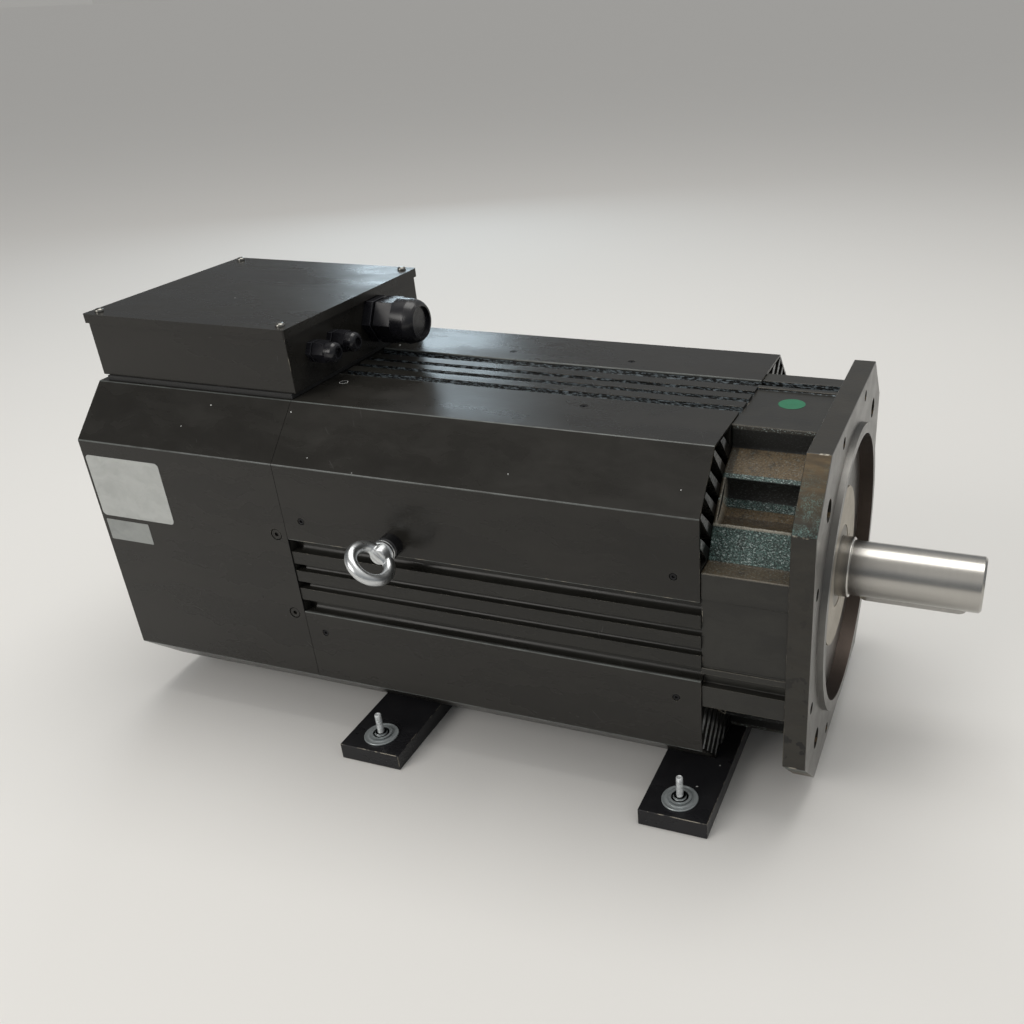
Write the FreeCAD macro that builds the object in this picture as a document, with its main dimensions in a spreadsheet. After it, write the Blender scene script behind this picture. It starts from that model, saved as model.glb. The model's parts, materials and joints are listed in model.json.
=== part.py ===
import FreeCAD, Part
import math
import os

import Sketcher
from FreeCAD import Placement, Rotation, Vector

# Spindle servo motor with a square flange, a fan-cooled octagonal body and a junction box.
# Millimetres. The origin is where the shaft axis meets the front face of the flange,
# +X runs out along the shaft, +Z is up, and the junction box stands on top at the rear.

SIZES = {
    # square flange and its centring spigot
    "flange_side": 300,
    "flange_corner": 45,
    "flange_thick": 19,
    "spigot_dia": 250,
    "spigot_height": 5,
    "spigot_bore": 232,
    "recess_depth": 8,
    "bolt_circle": 300,
    "bolt_hole": 18,
    "tap_near": 52,
    "tap_far": 137,
    "tap_hole": 10,
    "tap_depth": 22,
    # front casting behind the flange
    "bracket_length": 86.6,
    "pad_face": 147,
    "pad_half": 60,
    "side_pad_half": 62,
    "pad_lip": 20,
    "pocket_low": 87.4,
    "pocket_high": 113.6,
    "channel_radius": 19,
    "channel_back": 3,
    "panel_from": -39,
    "panel_to": 24,
    "panel_depth": 2,
    "slot_from": 30,
    "slot_to": 42,
    "slot_depth": 7,
    "bell_radius": 97,
    "bell_depth": 24,
    "web_slope": 12,
    "lip_width": 7,
    "lip_height": 6,
    # front bearing, its cap and the shaft seal
    "front_bearing_bore": 55,
    "front_bearing_od": 120,
    "front_bearing_width": 29,
    "front_bearing_back": 14,
    "front_ball": 20,
    "cage_width": 6,
    "cap_dia": 140,
    "cap_plate": 3.5,
    "cap_ring": 8,
    "cap_relief": 3,
    "cap_hole_circle": 84,
    "cap_hole": 3.5,
    "cap_hole_depth": 5,
    "seal_dia": 72,
    "seal_inset": 0.6,
    # shaft and key
    "shaft_dia": 48,
    "shaft_length": 110,
    "shaft_shoulder": 6,
    "collar_dia": 53,
    "shaft_chamfer": 2,
    "rotor_seat_dia": 64,
    "bearing_shoulder": 5,
    "shaft_relief": 20,
    "stub_dia": 18,
    "key_width": 14,
    "key_height": 9,
    "key_length": 90,
    "key_stand": 3.5,
    "key_start": 8,
    # rotor and stator
    "core_front": 150,
    "core_length": 250,
    "air_gap": 0.8,
    "stator_bore": 140,
    "slot_mouth": 3,
    "slot_neck": 6,
    "slot_width": 7,
    "slot_reach": 20,
    "winding_overhang": 30,
    "winding_height": 28,
    "cage_ring": 14,
    "cage_ring_height": 17,
    "cage_bar": 8,
    # extruded stator frame
    "frame_length": 371.1,
    "frame_bore": 220,
    "frame_wall": 11,
    "block_half": 64,
    "land_drop": 1,
    "land_half": 24.5,
    "wide_groove": 12,
    "wide_centre_drop": 2.5,
    "thin_groove": 7,
    "thin_offset": 9,
    "thin_centre_drop": 2,
    "groove_end": 8,
    "groove_end_depth": 10,
    "duct_half": 42,
    "duct_height": 8,
    "duct_cover": 13,
    "fin_tip": 4.6,
    "fin_root": 13,
    "fin_pitch": 16.6,
    "fin_gap": 0.8,
    # folded covers around the frame
    "body_side": 297,
    "body_corner": 41,
    "sheet": 2,
    "fold_radius": 2.5,
    "cover_edge": 36.5,
    "cover_screw_line": 56.5,
    "cover_screw_end": 18,
    "cover_screw_front": 21,
    "cover_screw_mid": 128,
    "cover_screw_fore": 246,
    "cover_screw_head": 6.6,
    "cover_screw_shank": 4,
    "cover_screw_length": 10,
    # rear cover
    "rear_length": 205,
    "rear_screw_line": 40,
    "rear_screw_back": 11,
    "rear_screw_head": 11,
    "rear_screw_shank": 6,
    "rear_screw_length": 14,
    "air_opening": 230,
    "cable_opening": 90,
    "cable_opening_back": 60,
    # rear bearing shield and encoder
    "rear_shield": 22,
    "rear_arm_half": 56,
    "rear_hub": 124,
    "rear_hub_length": 18,
    "rear_bearing_bore": 45,
    "rear_bearing_od": 100,
    "rear_bearing_width": 25,
    "rear_bearing_inset": 7,
    "rear_ball": 17,
    "shield_screw_head": 13,
    "shield_screw_head_height": 8,
    "shield_screw_shank": 8,
    "shield_screw_length": 45,
    "shield_screw_radius": 117.5,
    "encoder_flange_dia": 112,
    "encoder_flange_thick": 4.5,
    "encoder_opening": 40,
    "encoder_dia": 58,
    "encoder_length": 36,
    "encoder_bore": 31,
    "encoder_cap": 3,
    "encoder_hub_dia": 30,
    "encoder_hub_length": 30,
    # cooling fan
    "fan_duct": 242,
    "fan_duct_wall": 3,
    "fan_duct_length": 52,
    "fan_flange": 276,
    "fan_flange_thick": 3,
    "fan_seat": 8,
    "fan_strut": 8,
    "fan_motor_dia": 88,
    "fan_motor_length": 44,
    "fan_motor_back": 5,
    "fan_hub_wall": 4,
    "fan_hub_gap": 2,
    "fan_hub_length": 40,
    "fan_shaft_dia": 10,
    "fan_blade": 3,
    "fan_chord": 34,
    "fan_blade_twist": 24,
    "fan_blade_root_pitch": 52,
    "fan_tip_gap": 2,
    "guard_wire": 3,
    "guard_step": 20,
    # junction box
    "box_length": 210,
    "box_width": 210,
    "box_top": 208.6,
    "box_overhang": 5,
    "gasket_height": 4.5,
    "gasket_inset": 8,
    "gasket_wall": 10,
    "grommet_rim": 5,
    "grommet_rim_height": 3,
    "grommet_collar": 4,
    "box_wall": 2.5,
    "box_floor": 3,
    "box_post": 15,
    "lid_sheet": 2,
    "lid_lip": 8,
    "lid_screw_inset": 10,
    "lid_screw_head": 8,
    "lid_screw_rise": 3,
    "lid_screw_shank": 4,
    "lid_screw_length": 12,
    "terminal_length": 120,
    "terminal_width": 40,
    "terminal_height": 20,
    "terminal_stud": 6,
    "terminal_rise": 12,
    "terminal_pitch": 18,
    # cable glands on the front wall of the box
    "gland_height": 181,
    "power_gland_place": 26,
    "power_gland_hex": 38,
    "power_gland_thread": 32,
    "power_gland_base": 9,
    "power_gland_body": 17,
    "power_gland_cap": 29,
    "power_gland_cap_dia": 41,
    "power_gland_dome": 10,
    "power_gland_taper": 4.5,
    "power_gland_bore": 22,
    "power_gland_mouth": 28,
    "power_gland_gap": 3,
    "signal_gland_place": -71,
    "signal_gland_pitch": 29.5,
    "signal_gland_hex": 17,
    "signal_gland_thread": 12,
    "signal_gland_base": 5,
    "signal_gland_body": 11,
    "signal_gland_cap": 17,
    "signal_gland_cap_dia": 17,
    "signal_gland_dome": 3.5,
    "signal_gland_taper": 2.8,
    "signal_gland_bore": 7,
    "signal_gland_mouth": 8.4,
    "signal_gland_gap": 1.2,
    "gland_thread_reach": 8,
    "plug_depth": 3,
    # lifting eye on the near side
    "eye_place": 352,
    "eye_height": 48,
    "eye_turn": 41,
    "eye_ring_outer": 43,
    "eye_ring_inner": 23,
    "eye_rise": 22.5,
    "eye_web": 2,
    "eye_collar": 20,
    "eye_collar_height": 5,
    "eye_neck": 14,
    "eye_shank": 10,
    "eye_shank_length": 30,
    "spacer_dia": 20,
    "spacer_length": 10.5,
    # foot bars and their fixings
    "foot_length": 374,
    "foot_width": 60,
    "foot_thick": 16,
    "foot_front": 101,
    "foot_rear": 388,
    "stud_place": 165,
    "stud_dia": 6,
    "stud_rise": 24,
    "stud_shank": 5.3,
    "washer_dia": 31,
    "washer_thick": 1.6,
    "washer_collar": 11,
    "washer_collar_height": 3,
    "foot_screw_line": 50,
    "foot_screw_head": 16,
    "foot_screw_shank": 10,
    "foot_screw_length": 34,
    "foot_counterbore": 10,
    # clearances
    "seat_gap": 0.05,
    "loose_gap": 0.3,
    "key_gap": 0.05,
}

# counts of repeated features
FIN_PAIRS = 3
STATOR_SLOTS = 36
CAGE_BARS = 28
BALLS = 8
CAP_HOLE_ANGLES = (12.5, -73)
SHIELD_SCREWS = 4
FAN_BLADES = 7
GUARD_RINGS = 5
TERMINALS = 6

SIDES = 4
FULL_TURN = 360
HALF = 0.5
DIAGONAL = math.sqrt(HALF)
OCTAGON_OFFSET = 2 - math.sqrt(2)
NEAR_ZERO = 1e-6
PICK = 0.01
BEYOND = 1

doc = FreeCAD.newDocument("spindle_servo_motor")
sheet = doc.addObject("Spreadsheet::Sheet", "Sizes")
for row, (alias, value) in enumerate(SIZES.items(), start=1):
    sheet.set(f"A{row}", alias)
    sheet.set(f"B{row}", str(value))
    sheet.setAlias(f"B{row}", alias)
doc.recompute()


class Size:
    """A length or angle that knows both its value and the sheet formula behind it."""

    def __init__(self, value, formula):
        self.value = value
        self.formula = formula

    def __add__(self, other):
        return Size(self.value + number(other), f"({self.formula} + {text(other)})")

    def __sub__(self, other):
        return Size(self.value - number(other), f"({self.formula} - {text(other)})")

    def __mul__(self, other):
        return Size(self.value * number(other), f"({self.formula} * {text(other)})")

    def __truediv__(self, other):
        return Size(self.value / number(other), f"({self.formula} / {text(other)})")

    def __radd__(self, other):
        return Size(other + self.value, f"({other} + {self.formula})")

    def __rsub__(self, other):
        return Size(other - self.value, f"({other} - {self.formula})")

    def __rmul__(self, other):
        return Size(other * self.value, f"({other} * {self.formula})")

    def __neg__(self):
        return Size(-self.value, f"(-1 * {self.formula})")


def number(size):
    return size.value if isinstance(size, Size) else size


def text(size):
    return size.formula if isinstance(size, Size) else repr(size)


def of_sheet(alias):
    return Size(SIZES[alias], f"Sizes.{alias}")


def bind(obj, path, size):
    """Tie one property to its formula, or set it where the value is a plain number."""
    if isinstance(size, Size):
        obj.setExpression(path, size.formula)
    else:
        setattr(obj, path, size)


def place(obj, x=0, y=0, z=0, rotation=Rotation()):
    """Put an object at a point whose coordinates stay tied to the sheet."""
    obj.Placement = Placement(Vector(number(x), number(y), number(z)), rotation)
    for axis, size in (("x", x), ("y", y), ("z", z)):
        if isinstance(size, Size):
            obj.setExpression(f"Placement.Base.{axis}", size.formula)
    return obj


# Sketch helpers: every corner and centre is dimensioned from the sketch origin.

def hold(sketch, geometry, point, along, size):
    """Dimension one coordinate of a sketch point from the origin."""
    if abs(number(size)) < NEAR_ZERO:
        axis = -2 if along == "X" else -1
        sketch.addConstraint(Sketcher.Constraint("PointOnObject", geometry, point, axis))
        return
    kind = "Distance" + along
    index = sketch.addConstraint(
        Sketcher.Constraint(kind, -1, 1, geometry, point, number(size)))
    if isinstance(size, Size):
        sketch.setExpression(f"Constraints[{index}]", size.formula)


def outline(sketch, corners):
    """Closed polygon through the given corners."""
    points = [Vector(number(a), number(b), 0) for a, b in corners]
    first = sketch.GeometryCount
    for start, end in zip(points, points[1:] + points[:1]):
        sketch.addGeometry(Part.LineSegment(start, end), False)
    count = len(corners)
    for step in range(count):
        before = first + (step - 1) % count
        sketch.addConstraint(
            Sketcher.Constraint("Coincident", before, 2, first + step, 1))
    for step, (a, b) in enumerate(corners):
        hold(sketch, first + step, 1, "X", a)
        hold(sketch, first + step, 1, "Y", b)


def circle(sketch, a, b, radius):
    centre = Vector(number(a), number(b), 0)
    index = sketch.addGeometry(
        Part.Circle(centre, Vector(0, 0, 1), number(radius)), False)
    hold(sketch, index, 3, "X", a)
    hold(sketch, index, 3, "Y", b)
    limit = sketch.addConstraint(Sketcher.Constraint("Radius", index, number(radius)))
    if isinstance(radius, Size):
        sketch.setExpression(f"Constraints[{limit}]", radius.formula)


def long_slot(sketch, start, end, half_width):
    """Slot along the first sketch axis with a half-round at each end."""
    low, high, half = number(start), number(end), number(half_width)
    quarter = math.pi / 2
    normal = Vector(0, 0, 1)
    top = sketch.addGeometry(
        Part.LineSegment(Vector(low, half, 0), Vector(high, half, 0)), False)
    right = sketch.addGeometry(Part.ArcOfCircle(
        Part.Circle(Vector(high, 0, 0), normal, half), -quarter, quarter), False)
    bottom = sketch.addGeometry(
        Part.LineSegment(Vector(high, -half, 0), Vector(low, -half, 0)), False)
    left = sketch.addGeometry(Part.ArcOfCircle(
        Part.Circle(Vector(low, 0, 0), normal, half), quarter, 3 * quarter), False)
    for one, one_end, two, two_end in ((top, 2, right, 2), (right, 1, bottom, 1),
                                       (bottom, 2, left, 2), (left, 1, top, 1)):
        sketch.addConstraint(
            Sketcher.Constraint("Coincident", one, one_end, two, two_end))
    for line, point, a, b in ((top, 1, start, half_width), (top, 2, end, half_width),
                              (bottom, 1, end, -half_width),
                              (bottom, 2, start, -half_width)):
        hold(sketch, line, point, "X", a)
        hold(sketch, line, point, "Y", b)
    hold(sketch, right, 3, "X", end)
    hold(sketch, left, 3, "X", start)


# Body helpers.

def new_body(label):
    body = doc.addObject("PartDesign::Body", label)
    body.Label = label
    return body


def new_sketch(body, plane, offset=0):
    """Sketch on one of the body's own planes, moved along the plane's normal."""
    sketch = body.newObject("Sketcher::SketchObject", "Profile")
    base = [item for item in body.Origin.OriginFeatures if item.Role == plane][0]
    sketch.AttachmentSupport = [(base, "")]
    sketch.MapMode = "FlatFace"
    sketch.AttachmentOffset = Placement(Vector(0, 0, number(offset)), Rotation())
    if isinstance(offset, Size):
        sketch.setExpression("AttachmentOffset.Base.z", offset.formula)
    return sketch


def origin_axis(body, role):
    return [item for item in body.Origin.OriginFeatures if item.Role == role][0]


def pad(body, sketch, length, backwards=False):
    feature = body.newObject("PartDesign::Pad", "Pad")
    feature.Profile = sketch
    feature.Reversed = backwards
    bind(feature, "Length", length)
    return feature


def pocket(body, sketch, length, forwards=True):
    """Cut that runs along the sketch normal, or against it."""
    feature = body.newObject("PartDesign::Pocket", "Pocket")
    feature.Profile = sketch
    feature.Reversed = forwards
    bind(feature, "Length", length)
    return feature


def spin(body, sketch, cut=False, axis="H_Axis"):
    kind = "PartDesign::Groove" if cut else "PartDesign::Revolution"
    feature = body.newObject(kind, "Turn")
    feature.Profile = sketch
    feature.ReferenceAxis = (sketch, [axis])
    feature.Angle = FULL_TURN
    return feature


def polar(body, features, count, role="X_Axis"):
    pattern = body.newObject("PartDesign::PolarPattern", "Pattern")
    pattern.Originals = features
    pattern.Axis = (origin_axis(body, role), [""])
    pattern.Angle = FULL_TURN
    pattern.Occurrences = count
    body.Tip = pattern
    return pattern


def turned(label, corners, plane="XY_Plane"):
    """Turned piece about its own X axis, from corners given as (x, radius)."""
    body = new_body(label)
    sketch = new_sketch(body, plane)
    outline(sketch, corners)
    spin(body, sketch)
    return body


def upright(label, corners):
    """Turned piece about its own Z axis, from corners given as (radius, z)."""
    body = new_body(label)
    sketch = new_sketch(body, "XZ_Plane")
    outline(sketch, corners)
    spin(body, sketch, axis="V_Axis")
    return body


def round_lines(body, feature, direction, places, rounding):
    """Round the straight edges along one direction that pass through given points."""
    doc.recompute()
    names = []
    for index, edge in enumerate(feature.Shape.Edges, start=1):
        if not isinstance(edge.Curve, Part.Line):
            continue
        if abs(abs(edge.tangentAt(edge.FirstParameter).dot(direction)) - 1) > PICK:
            continue
        middle = edge.CenterOfMass
        across = middle - direction * middle.dot(direction)
        if any((across - spot).Length < PICK for spot in places):
            names.append(f"Edge{index}")
    return dress(body, feature, names, rounding)


def dress(body, feature, names, rounding):
    if not names:
        raise ValueError(f"no edge to round on {body.Label}")
    dressed = body.newObject("PartDesign::Fillet", "Edges")
    dressed.Base = (feature, names)
    bind(dressed, "Radius", rounding)
    return dressed


def rectangle(a_from, a_to, b_from, b_to):
    return [(a_from, b_from), (a_to, b_from), (a_to, b_to), (a_from, b_to)]


# Part helpers.

def cylinder(radius, height, x=0, y=0, z=0, rotation=Rotation()):
    obj = doc.addObject("Part::Cylinder", "Cylinder")
    bind(obj, "Radius", radius)
    bind(obj, "Height", height)
    return place(obj, x, y, z, rotation)


def cone(radius_low, radius_high, height, z=0):
    obj = doc.addObject("Part::Cone", "Cone")
    bind(obj, "Radius1", radius_low)
    bind(obj, "Radius2", radius_high)
    bind(obj, "Height", height)
    return place(obj, z=z)


def hexagon(across_flats, height, z=0):
    """Hexagonal prism with two of its corners on the local Y axis."""
    obj = doc.addObject("Part::Prism", "Prism")
    obj.Polygon = 6
    bind(obj, "Circumradius", across_flats / math.sqrt(3))
    bind(obj, "Height", height)
    return place(obj, z=z, rotation=Rotation(Vector(0, 0, 1), FULL_TURN / SIDES))


def box(length, width, height, x=0, y=0, z=0):
    obj = doc.addObject("Part::Box", "Box")
    bind(obj, "Length", length)
    bind(obj, "Width", width)
    bind(obj, "Height", height)
    return place(obj, x, y, z)


def fuse(label, shapes):
    obj = doc.addObject("Part::MultiFuse", label)
    obj.Label = label
    obj.Shapes = shapes
    obj.Refine = True
    return obj


def cut(label, base, tool):
    obj = doc.addObject("Part::Cut", label)
    obj.Label = label
    obj.Base = base
    obj.Tool = tool
    obj.Refine = True
    return obj


def compound(label, members):
    obj = doc.addObject("Part::Compound", label)
    obj.Label = label
    obj.Links = members
    return obj


def screw(head_dia, head_height, shank_dia, length, socket=0):
    """Socket-headed screw: the head's underside is at z = 0, the shank points to -Z."""
    head = cylinder(head_dia / 2, head_height)
    shank = cylinder(shank_dia / 2, length, z=-length)
    whole = fuse("Screw", [head, shank])
    if not socket:
        return whole
    drive = hexagon(head_dia * socket, head_height, z=head_height / 2)
    return cut("Screw", whole, drive)


OUT = Rotation(Vector(0, 0, 1), Vector(1, 0, 0))
BACK = Rotation(Vector(0, 0, 1), Vector(-1, 0, 0))
UP = Rotation()
DOWN = Rotation(Vector(1, 0, 0), 180)
NEAR = Rotation(Vector(1, 0, 0), 90)
FAR = Rotation(Vector(1, 0, 0), -90)

size = {alias: of_sheet(alias) for alias in SIZES}
gap = size["seat_gap"]
clear = size["loose_gap"]

# stations along the axis
frame_front = -size["bracket_length"]
joint = frame_front - size["frame_length"]
rear_end = joint - size["rear_length"]
bearing_face = -size["front_bearing_back"]
bearing_rear = bearing_face - size["front_bearing_width"]
recess_floor = -size["recess_depth"]
flange_back = -size["flange_thick"]
core_front = -size["core_front"]
core_rear = core_front - size["core_length"]
shaft_end = size["shaft_shoulder"] + size["shaft_length"]
rear_race_front = joint + size["rear_hub_length"] - size["rear_bearing_inset"]
rear_race_back = rear_race_front - size["rear_bearing_width"]
shield_back = joint - size["rear_shield"]
encoder_face = shield_back - size["encoder_flange_thick"]
body_half = size["body_side"] / 2
inner_half = body_half - size["sheet"]
land_face = body_half - size["land_drop"]
rotor_radius = size["stator_bore"] / 2 - size["air_gap"]
diagonal_face = (body_half * 2 - size["body_corner"]) * DIAGONAL

nodes = []


def node(obj):
    nodes.append(obj)
    return obj


def octagon(half, corner):
    """Square outline with four equal corner chamfers, in (y, z)."""
    near = half - corner
    return [(-near, -half), (near, -half), (half, -near), (half, near),
            (near, half), (-near, half), (-half, near), (-half, -near)]


def on_side(side, along, face):
    """Point at a distance along one side of the body; sides run top, near, bottom, far.

    Positive distances run towards the far side on the top and bottom,
    and downwards on the near and far sides.
    """
    return {"top": (along, face), "bottom": (along, -face),
            "near": (-face, -along), "far": (face, -along)}[side]


ALL_SIDES = ("top", "near", "bottom", "far")


# Front casting: flange, spigot, four flat pads with deep corner pockets between them.

def build_front_bracket():
    body = new_body("front_bracket")
    sketch = new_sketch(body, "YZ_Plane", flange_back)
    outline(sketch, octagon(size["flange_side"] / 2, size["flange_corner"]))
    pad(body, sketch, size["flange_thick"])

    sketch = new_sketch(body, "YZ_Plane", frame_front)
    face = size["pad_face"]
    outline(sketch, rectangle(-face, face, -face, face))
    pad(body, sketch, size["bracket_length"] - size["flange_thick"])

    sketch = new_sketch(body, "YZ_Plane")
    circle(sketch, 0, 0, size["spigot_dia"] / 2)
    pad(body, sketch, size["spigot_height"])

    depth = size["bracket_length"] - size["flange_thick"]
    lip = face - size["pad_lip"]
    half = size["pad_half"]
    side_half = size["side_pad_half"]
    low = size["pocket_low"]
    high = size["pocket_high"]
    beyond = face * 2
    sketch = new_sketch(body, "YZ_Plane", frame_front)
    for a in (1, -1):
        for b in (1, -1):
            corner = [(half, beyond), (half, lip), (low, high), (high, low),
                      (lip, side_half), (beyond, side_half), (beyond, beyond)]
            outline(sketch, [(y * a, z * b) for y, z in corner])
    pocket(body, sketch, depth)

    channel_end = frame_front + size["channel_back"]
    sketch = new_sketch(body, "YZ_Plane", channel_end)
    middle = (low + high) / 2
    for a in (1, -1):
        for b in (1, -1):
            circle(sketch, middle * a, middle * b, size["channel_radius"])
    pocket(body, sketch, depth - size["channel_back"])

    sketch = new_sketch(body, "YZ_Plane", frame_front)
    for side in ALL_SIDES:
        for start, end, deep in (("panel_from", "panel_to", "panel_depth"),
                                 ("slot_from", "slot_to", "slot_depth")):
            inner = face - size[deep]
            ends = (size[start], size[end])
            outline(sketch, [on_side(side, ends[0], inner), on_side(side, ends[1], inner),
                             on_side(side, ends[1], beyond),
                             on_side(side, ends[0], beyond)])
    pocket(body, sketch, depth)

    bore = size["front_bearing_od"] / 2
    lip_bore = bore - size["lip_height"]
    lip_back = bearing_rear - size["lip_width"]
    bell = size["bell_radius"]
    bell_start = frame_front + size["bell_depth"]
    sketch = new_sketch(body, "XY_Plane")
    outline(sketch, [(frame_front - BEYOND, 0), (frame_front - BEYOND, bell),
                     (bell_start, bell),
                     (lip_back, lip_bore), (bearing_rear, lip_bore),
                     (bearing_rear, bore), (recess_floor, bore),
                     (recess_floor, size["spigot_bore"] / 2),
                     (size["spigot_height"] + BEYOND, size["spigot_bore"] / 2),
                     (size["spigot_height"] + BEYOND, 0)])
    spin(body, sketch, cut=True)

    sketch = new_sketch(body, "YZ_Plane", flange_back)
    corner = size["bolt_circle"] / 2 * DIAGONAL
    for a in (1, -1):
        for b in (1, -1):
            circle(sketch, corner * a, corner * b, size["bolt_hole"] / 2)
    pocket(body, sketch, size["flange_thick"])

    sketch = new_sketch(body, "YZ_Plane")
    for a in (1, -1):
        for b in (1, -1):
            radius = size["tap_hole"] / 2
            circle(sketch, size["tap_near"] * a, size["tap_far"] * b, radius)
            circle(sketch, size["tap_far"] * a, size["tap_near"] * b, radius)
    pocket(body, sketch, size["tap_depth"], forwards=False)
    return body


def build_cap():
    """Bearing cap: a thin disc pressed into the flange recess, its ring on the bearing."""
    front = recess_floor + size["cap_plate"]
    seat = size["front_bearing_od"] / 2 - gap
    ring = seat - size["cap_ring"]
    bore = size["seal_dia"] / 2
    relief = bearing_face + size["cap_relief"]
    body = turned("front_bearing_cap", [
        (front, bore), (front, size["cap_dia"] / 2), (recess_floor, size["cap_dia"] / 2),
        (recess_floor, seat), (bearing_face, seat), (bearing_face, ring),
        (relief, ring), (relief, bore)])
    sketch = new_sketch(body, "YZ_Plane", front)
    radius = size["cap_hole_circle"] / 2
    for degrees in CAP_HOLE_ANGLES:
        angle = math.radians(degrees)
        circle(sketch, radius * math.cos(angle), radius * math.sin(angle),
               size["cap_hole"] / 2)
    pocket(body, sketch, size["cap_hole_depth"], forwards=False)
    return body


def build_seal():
    front = recess_floor + size["cap_plate"] - size["seal_inset"]
    back = bearing_face + size["cap_relief"]
    inner = size["collar_dia"] / 2 + clear
    outer = size["seal_dia"] / 2 - gap
    lip = inner + size["cap_relief"]
    waist = back + size["cap_relief"]
    return turned("shaft_seal", [(back, lip), (back, outer), (front, outer),
                                 (front, inner), (waist, inner), (waist, lip)])


# Bearings: outer ring, inner ring, and balls held in a cage.

def build_bearing(name, front, bore, outside, width, ball):
    back = front - width
    middle = (front + back) / 2
    pitch = (bore + outside) / 4
    land = ball * HALF * HALF
    race = ball / 2 + clear

    outer = turned(name + "_outer_ring", [
        (back, pitch + land), (back, outside / 2 - gap),
        (front, outside / 2 - gap), (front, pitch + land)])
    inner = turned(name + "_inner_ring", [
        (back, bore / 2 + gap), (back, pitch - land),
        (front, pitch - land), (front, bore / 2 + gap)])
    for ring in (outer, inner):
        sketch = new_sketch(ring, "XY_Plane")
        circle(sketch, middle, pitch, race)
        spin(ring, sketch, cut=True)

    cage = size["cage_width"] / 2
    half_land = land / 2
    balls = turned(name + "_balls", [
        (middle - cage, pitch - half_land), (middle - cage, pitch + half_land),
        (middle + cage, pitch + half_land), (middle + cage, pitch - half_land)])
    sphere = balls.newObject("PartDesign::AdditiveSphere", "Ball")
    bind(sphere, "Radius", ball / 2)
    place(sphere, x=middle, z=pitch)
    polar(balls, [sphere], BALLS)
    return outer, inner, balls


# Rotor.

def build_shaft():
    nose = size["shaft_dia"] / 2
    collar = size["collar_dia"] / 2
    front_seat = size["front_bearing_bore"] / 2
    rear_seat = size["rear_bearing_bore"] / 2
    shoulder = size["bearing_shoulder"]
    relief = size["shaft_relief"]
    rotor = size["rotor_seat_dia"] / 2
    stub = size["stub_dia"] / 2
    stub_end = encoder_face - size["encoder_length"] + size["encoder_cap"] * HALF
    chamfer = size["shaft_chamfer"]
    profile = [
        (shaft_end, 0), (shaft_end, nose - chamfer), (shaft_end - chamfer, nose),
        (size["shaft_shoulder"], nose), (size["shaft_shoulder"], collar),
        (bearing_face, collar), (bearing_face, front_seat),
        (bearing_rear, front_seat), (bearing_rear, front_seat + shoulder),
        (bearing_rear - relief, front_seat + shoulder),
        (bearing_rear - relief, rotor), (core_rear - relief, rotor),
        (core_rear - relief, rear_seat + shoulder),
        (rear_race_front, rear_seat + shoulder), (rear_race_front, rear_seat),
        (rear_race_back, rear_seat), (rear_race_back, stub), (stub_end, stub),
        (stub_end, 0)]
    below = [(x, -radius) for x, radius in profile]
    body = turned("shaft", below, plane="XZ_Plane")
    seat = nose + size["key_stand"] - size["key_height"]
    sketch = new_sketch(body, "XY_Plane", -seat)
    half = size["key_width"] / 2 + size["key_gap"]
    start, end = key_ends()
    long_slot(sketch, start, end, half)
    pocket(body, sketch, size["key_height"] * 2, forwards=False)
    return body


def key_ends():
    """Centres of the two half-round ends of the key."""
    half = size["key_width"] / 2
    start = size["shaft_shoulder"] + size["key_start"] + half
    return start, start + size["key_length"] - size["key_width"]


def build_key():
    body = new_body("shaft_key")
    top = size["shaft_dia"] / 2 + size["key_stand"] - size["key_height"]
    sketch = new_sketch(body, "XY_Plane", -top)
    start, end = key_ends()
    long_slot(sketch, start, end, size["key_width"] / 2)
    pad(body, sketch, size["key_height"], backwards=True)
    return body


def build_rotor_core():
    seat = size["rotor_seat_dia"] / 2 + gap
    body = turned("rotor_core", [(core_rear, seat), (core_rear, rotor_radius),
                                 (core_front, rotor_radius), (core_front, seat)])
    sketch = new_sketch(body, "YZ_Plane", core_rear)
    circle(sketch, 0, bar_circle(), size["cage_bar"] / 2 + gap)
    hole = pocket(body, sketch, size["core_length"])
    polar(body, [hole], CAGE_BARS)
    return body


def bar_circle():
    return rotor_radius - size["cage_bar"]


def build_rotor_cage():
    """Squirrel cage: two end rings joined by the bars through the core."""
    ring = size["cage_ring"]
    outer = rotor_radius - size["air_gap"]
    inner = outer - size["cage_ring_height"]
    body = turned("rotor_cage", [(core_front, inner), (core_front, outer),
                                 (core_front + ring, outer), (core_front + ring, inner)])
    sketch = new_sketch(body, "YZ_Plane", core_rear)
    circle(sketch, 0, bar_circle(), size["cage_bar"] / 2)
    bar = pad(body, sketch, size["core_length"])
    polar(body, [bar], CAGE_BARS)
    sketch = new_sketch(body, "YZ_Plane", core_rear)
    circle(sketch, 0, 0, outer)
    circle(sketch, 0, 0, inner)
    pad(body, sketch, ring, backwards=True)
    return body


# Stator.

def slot_section(shrink):
    """Half-closed slot in (y, z): a narrow mouth at the bore and a wide body behind it."""
    mouth = size["slot_mouth"] / 2 - shrink
    half = size["slot_width"] / 2 - shrink
    low = size["stator_bore"] / 2 + size["slot_neck"] + shrink
    high = size["stator_bore"] / 2 + size["slot_neck"] + size["slot_reach"] - shrink
    return mouth, half, low, high


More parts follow.
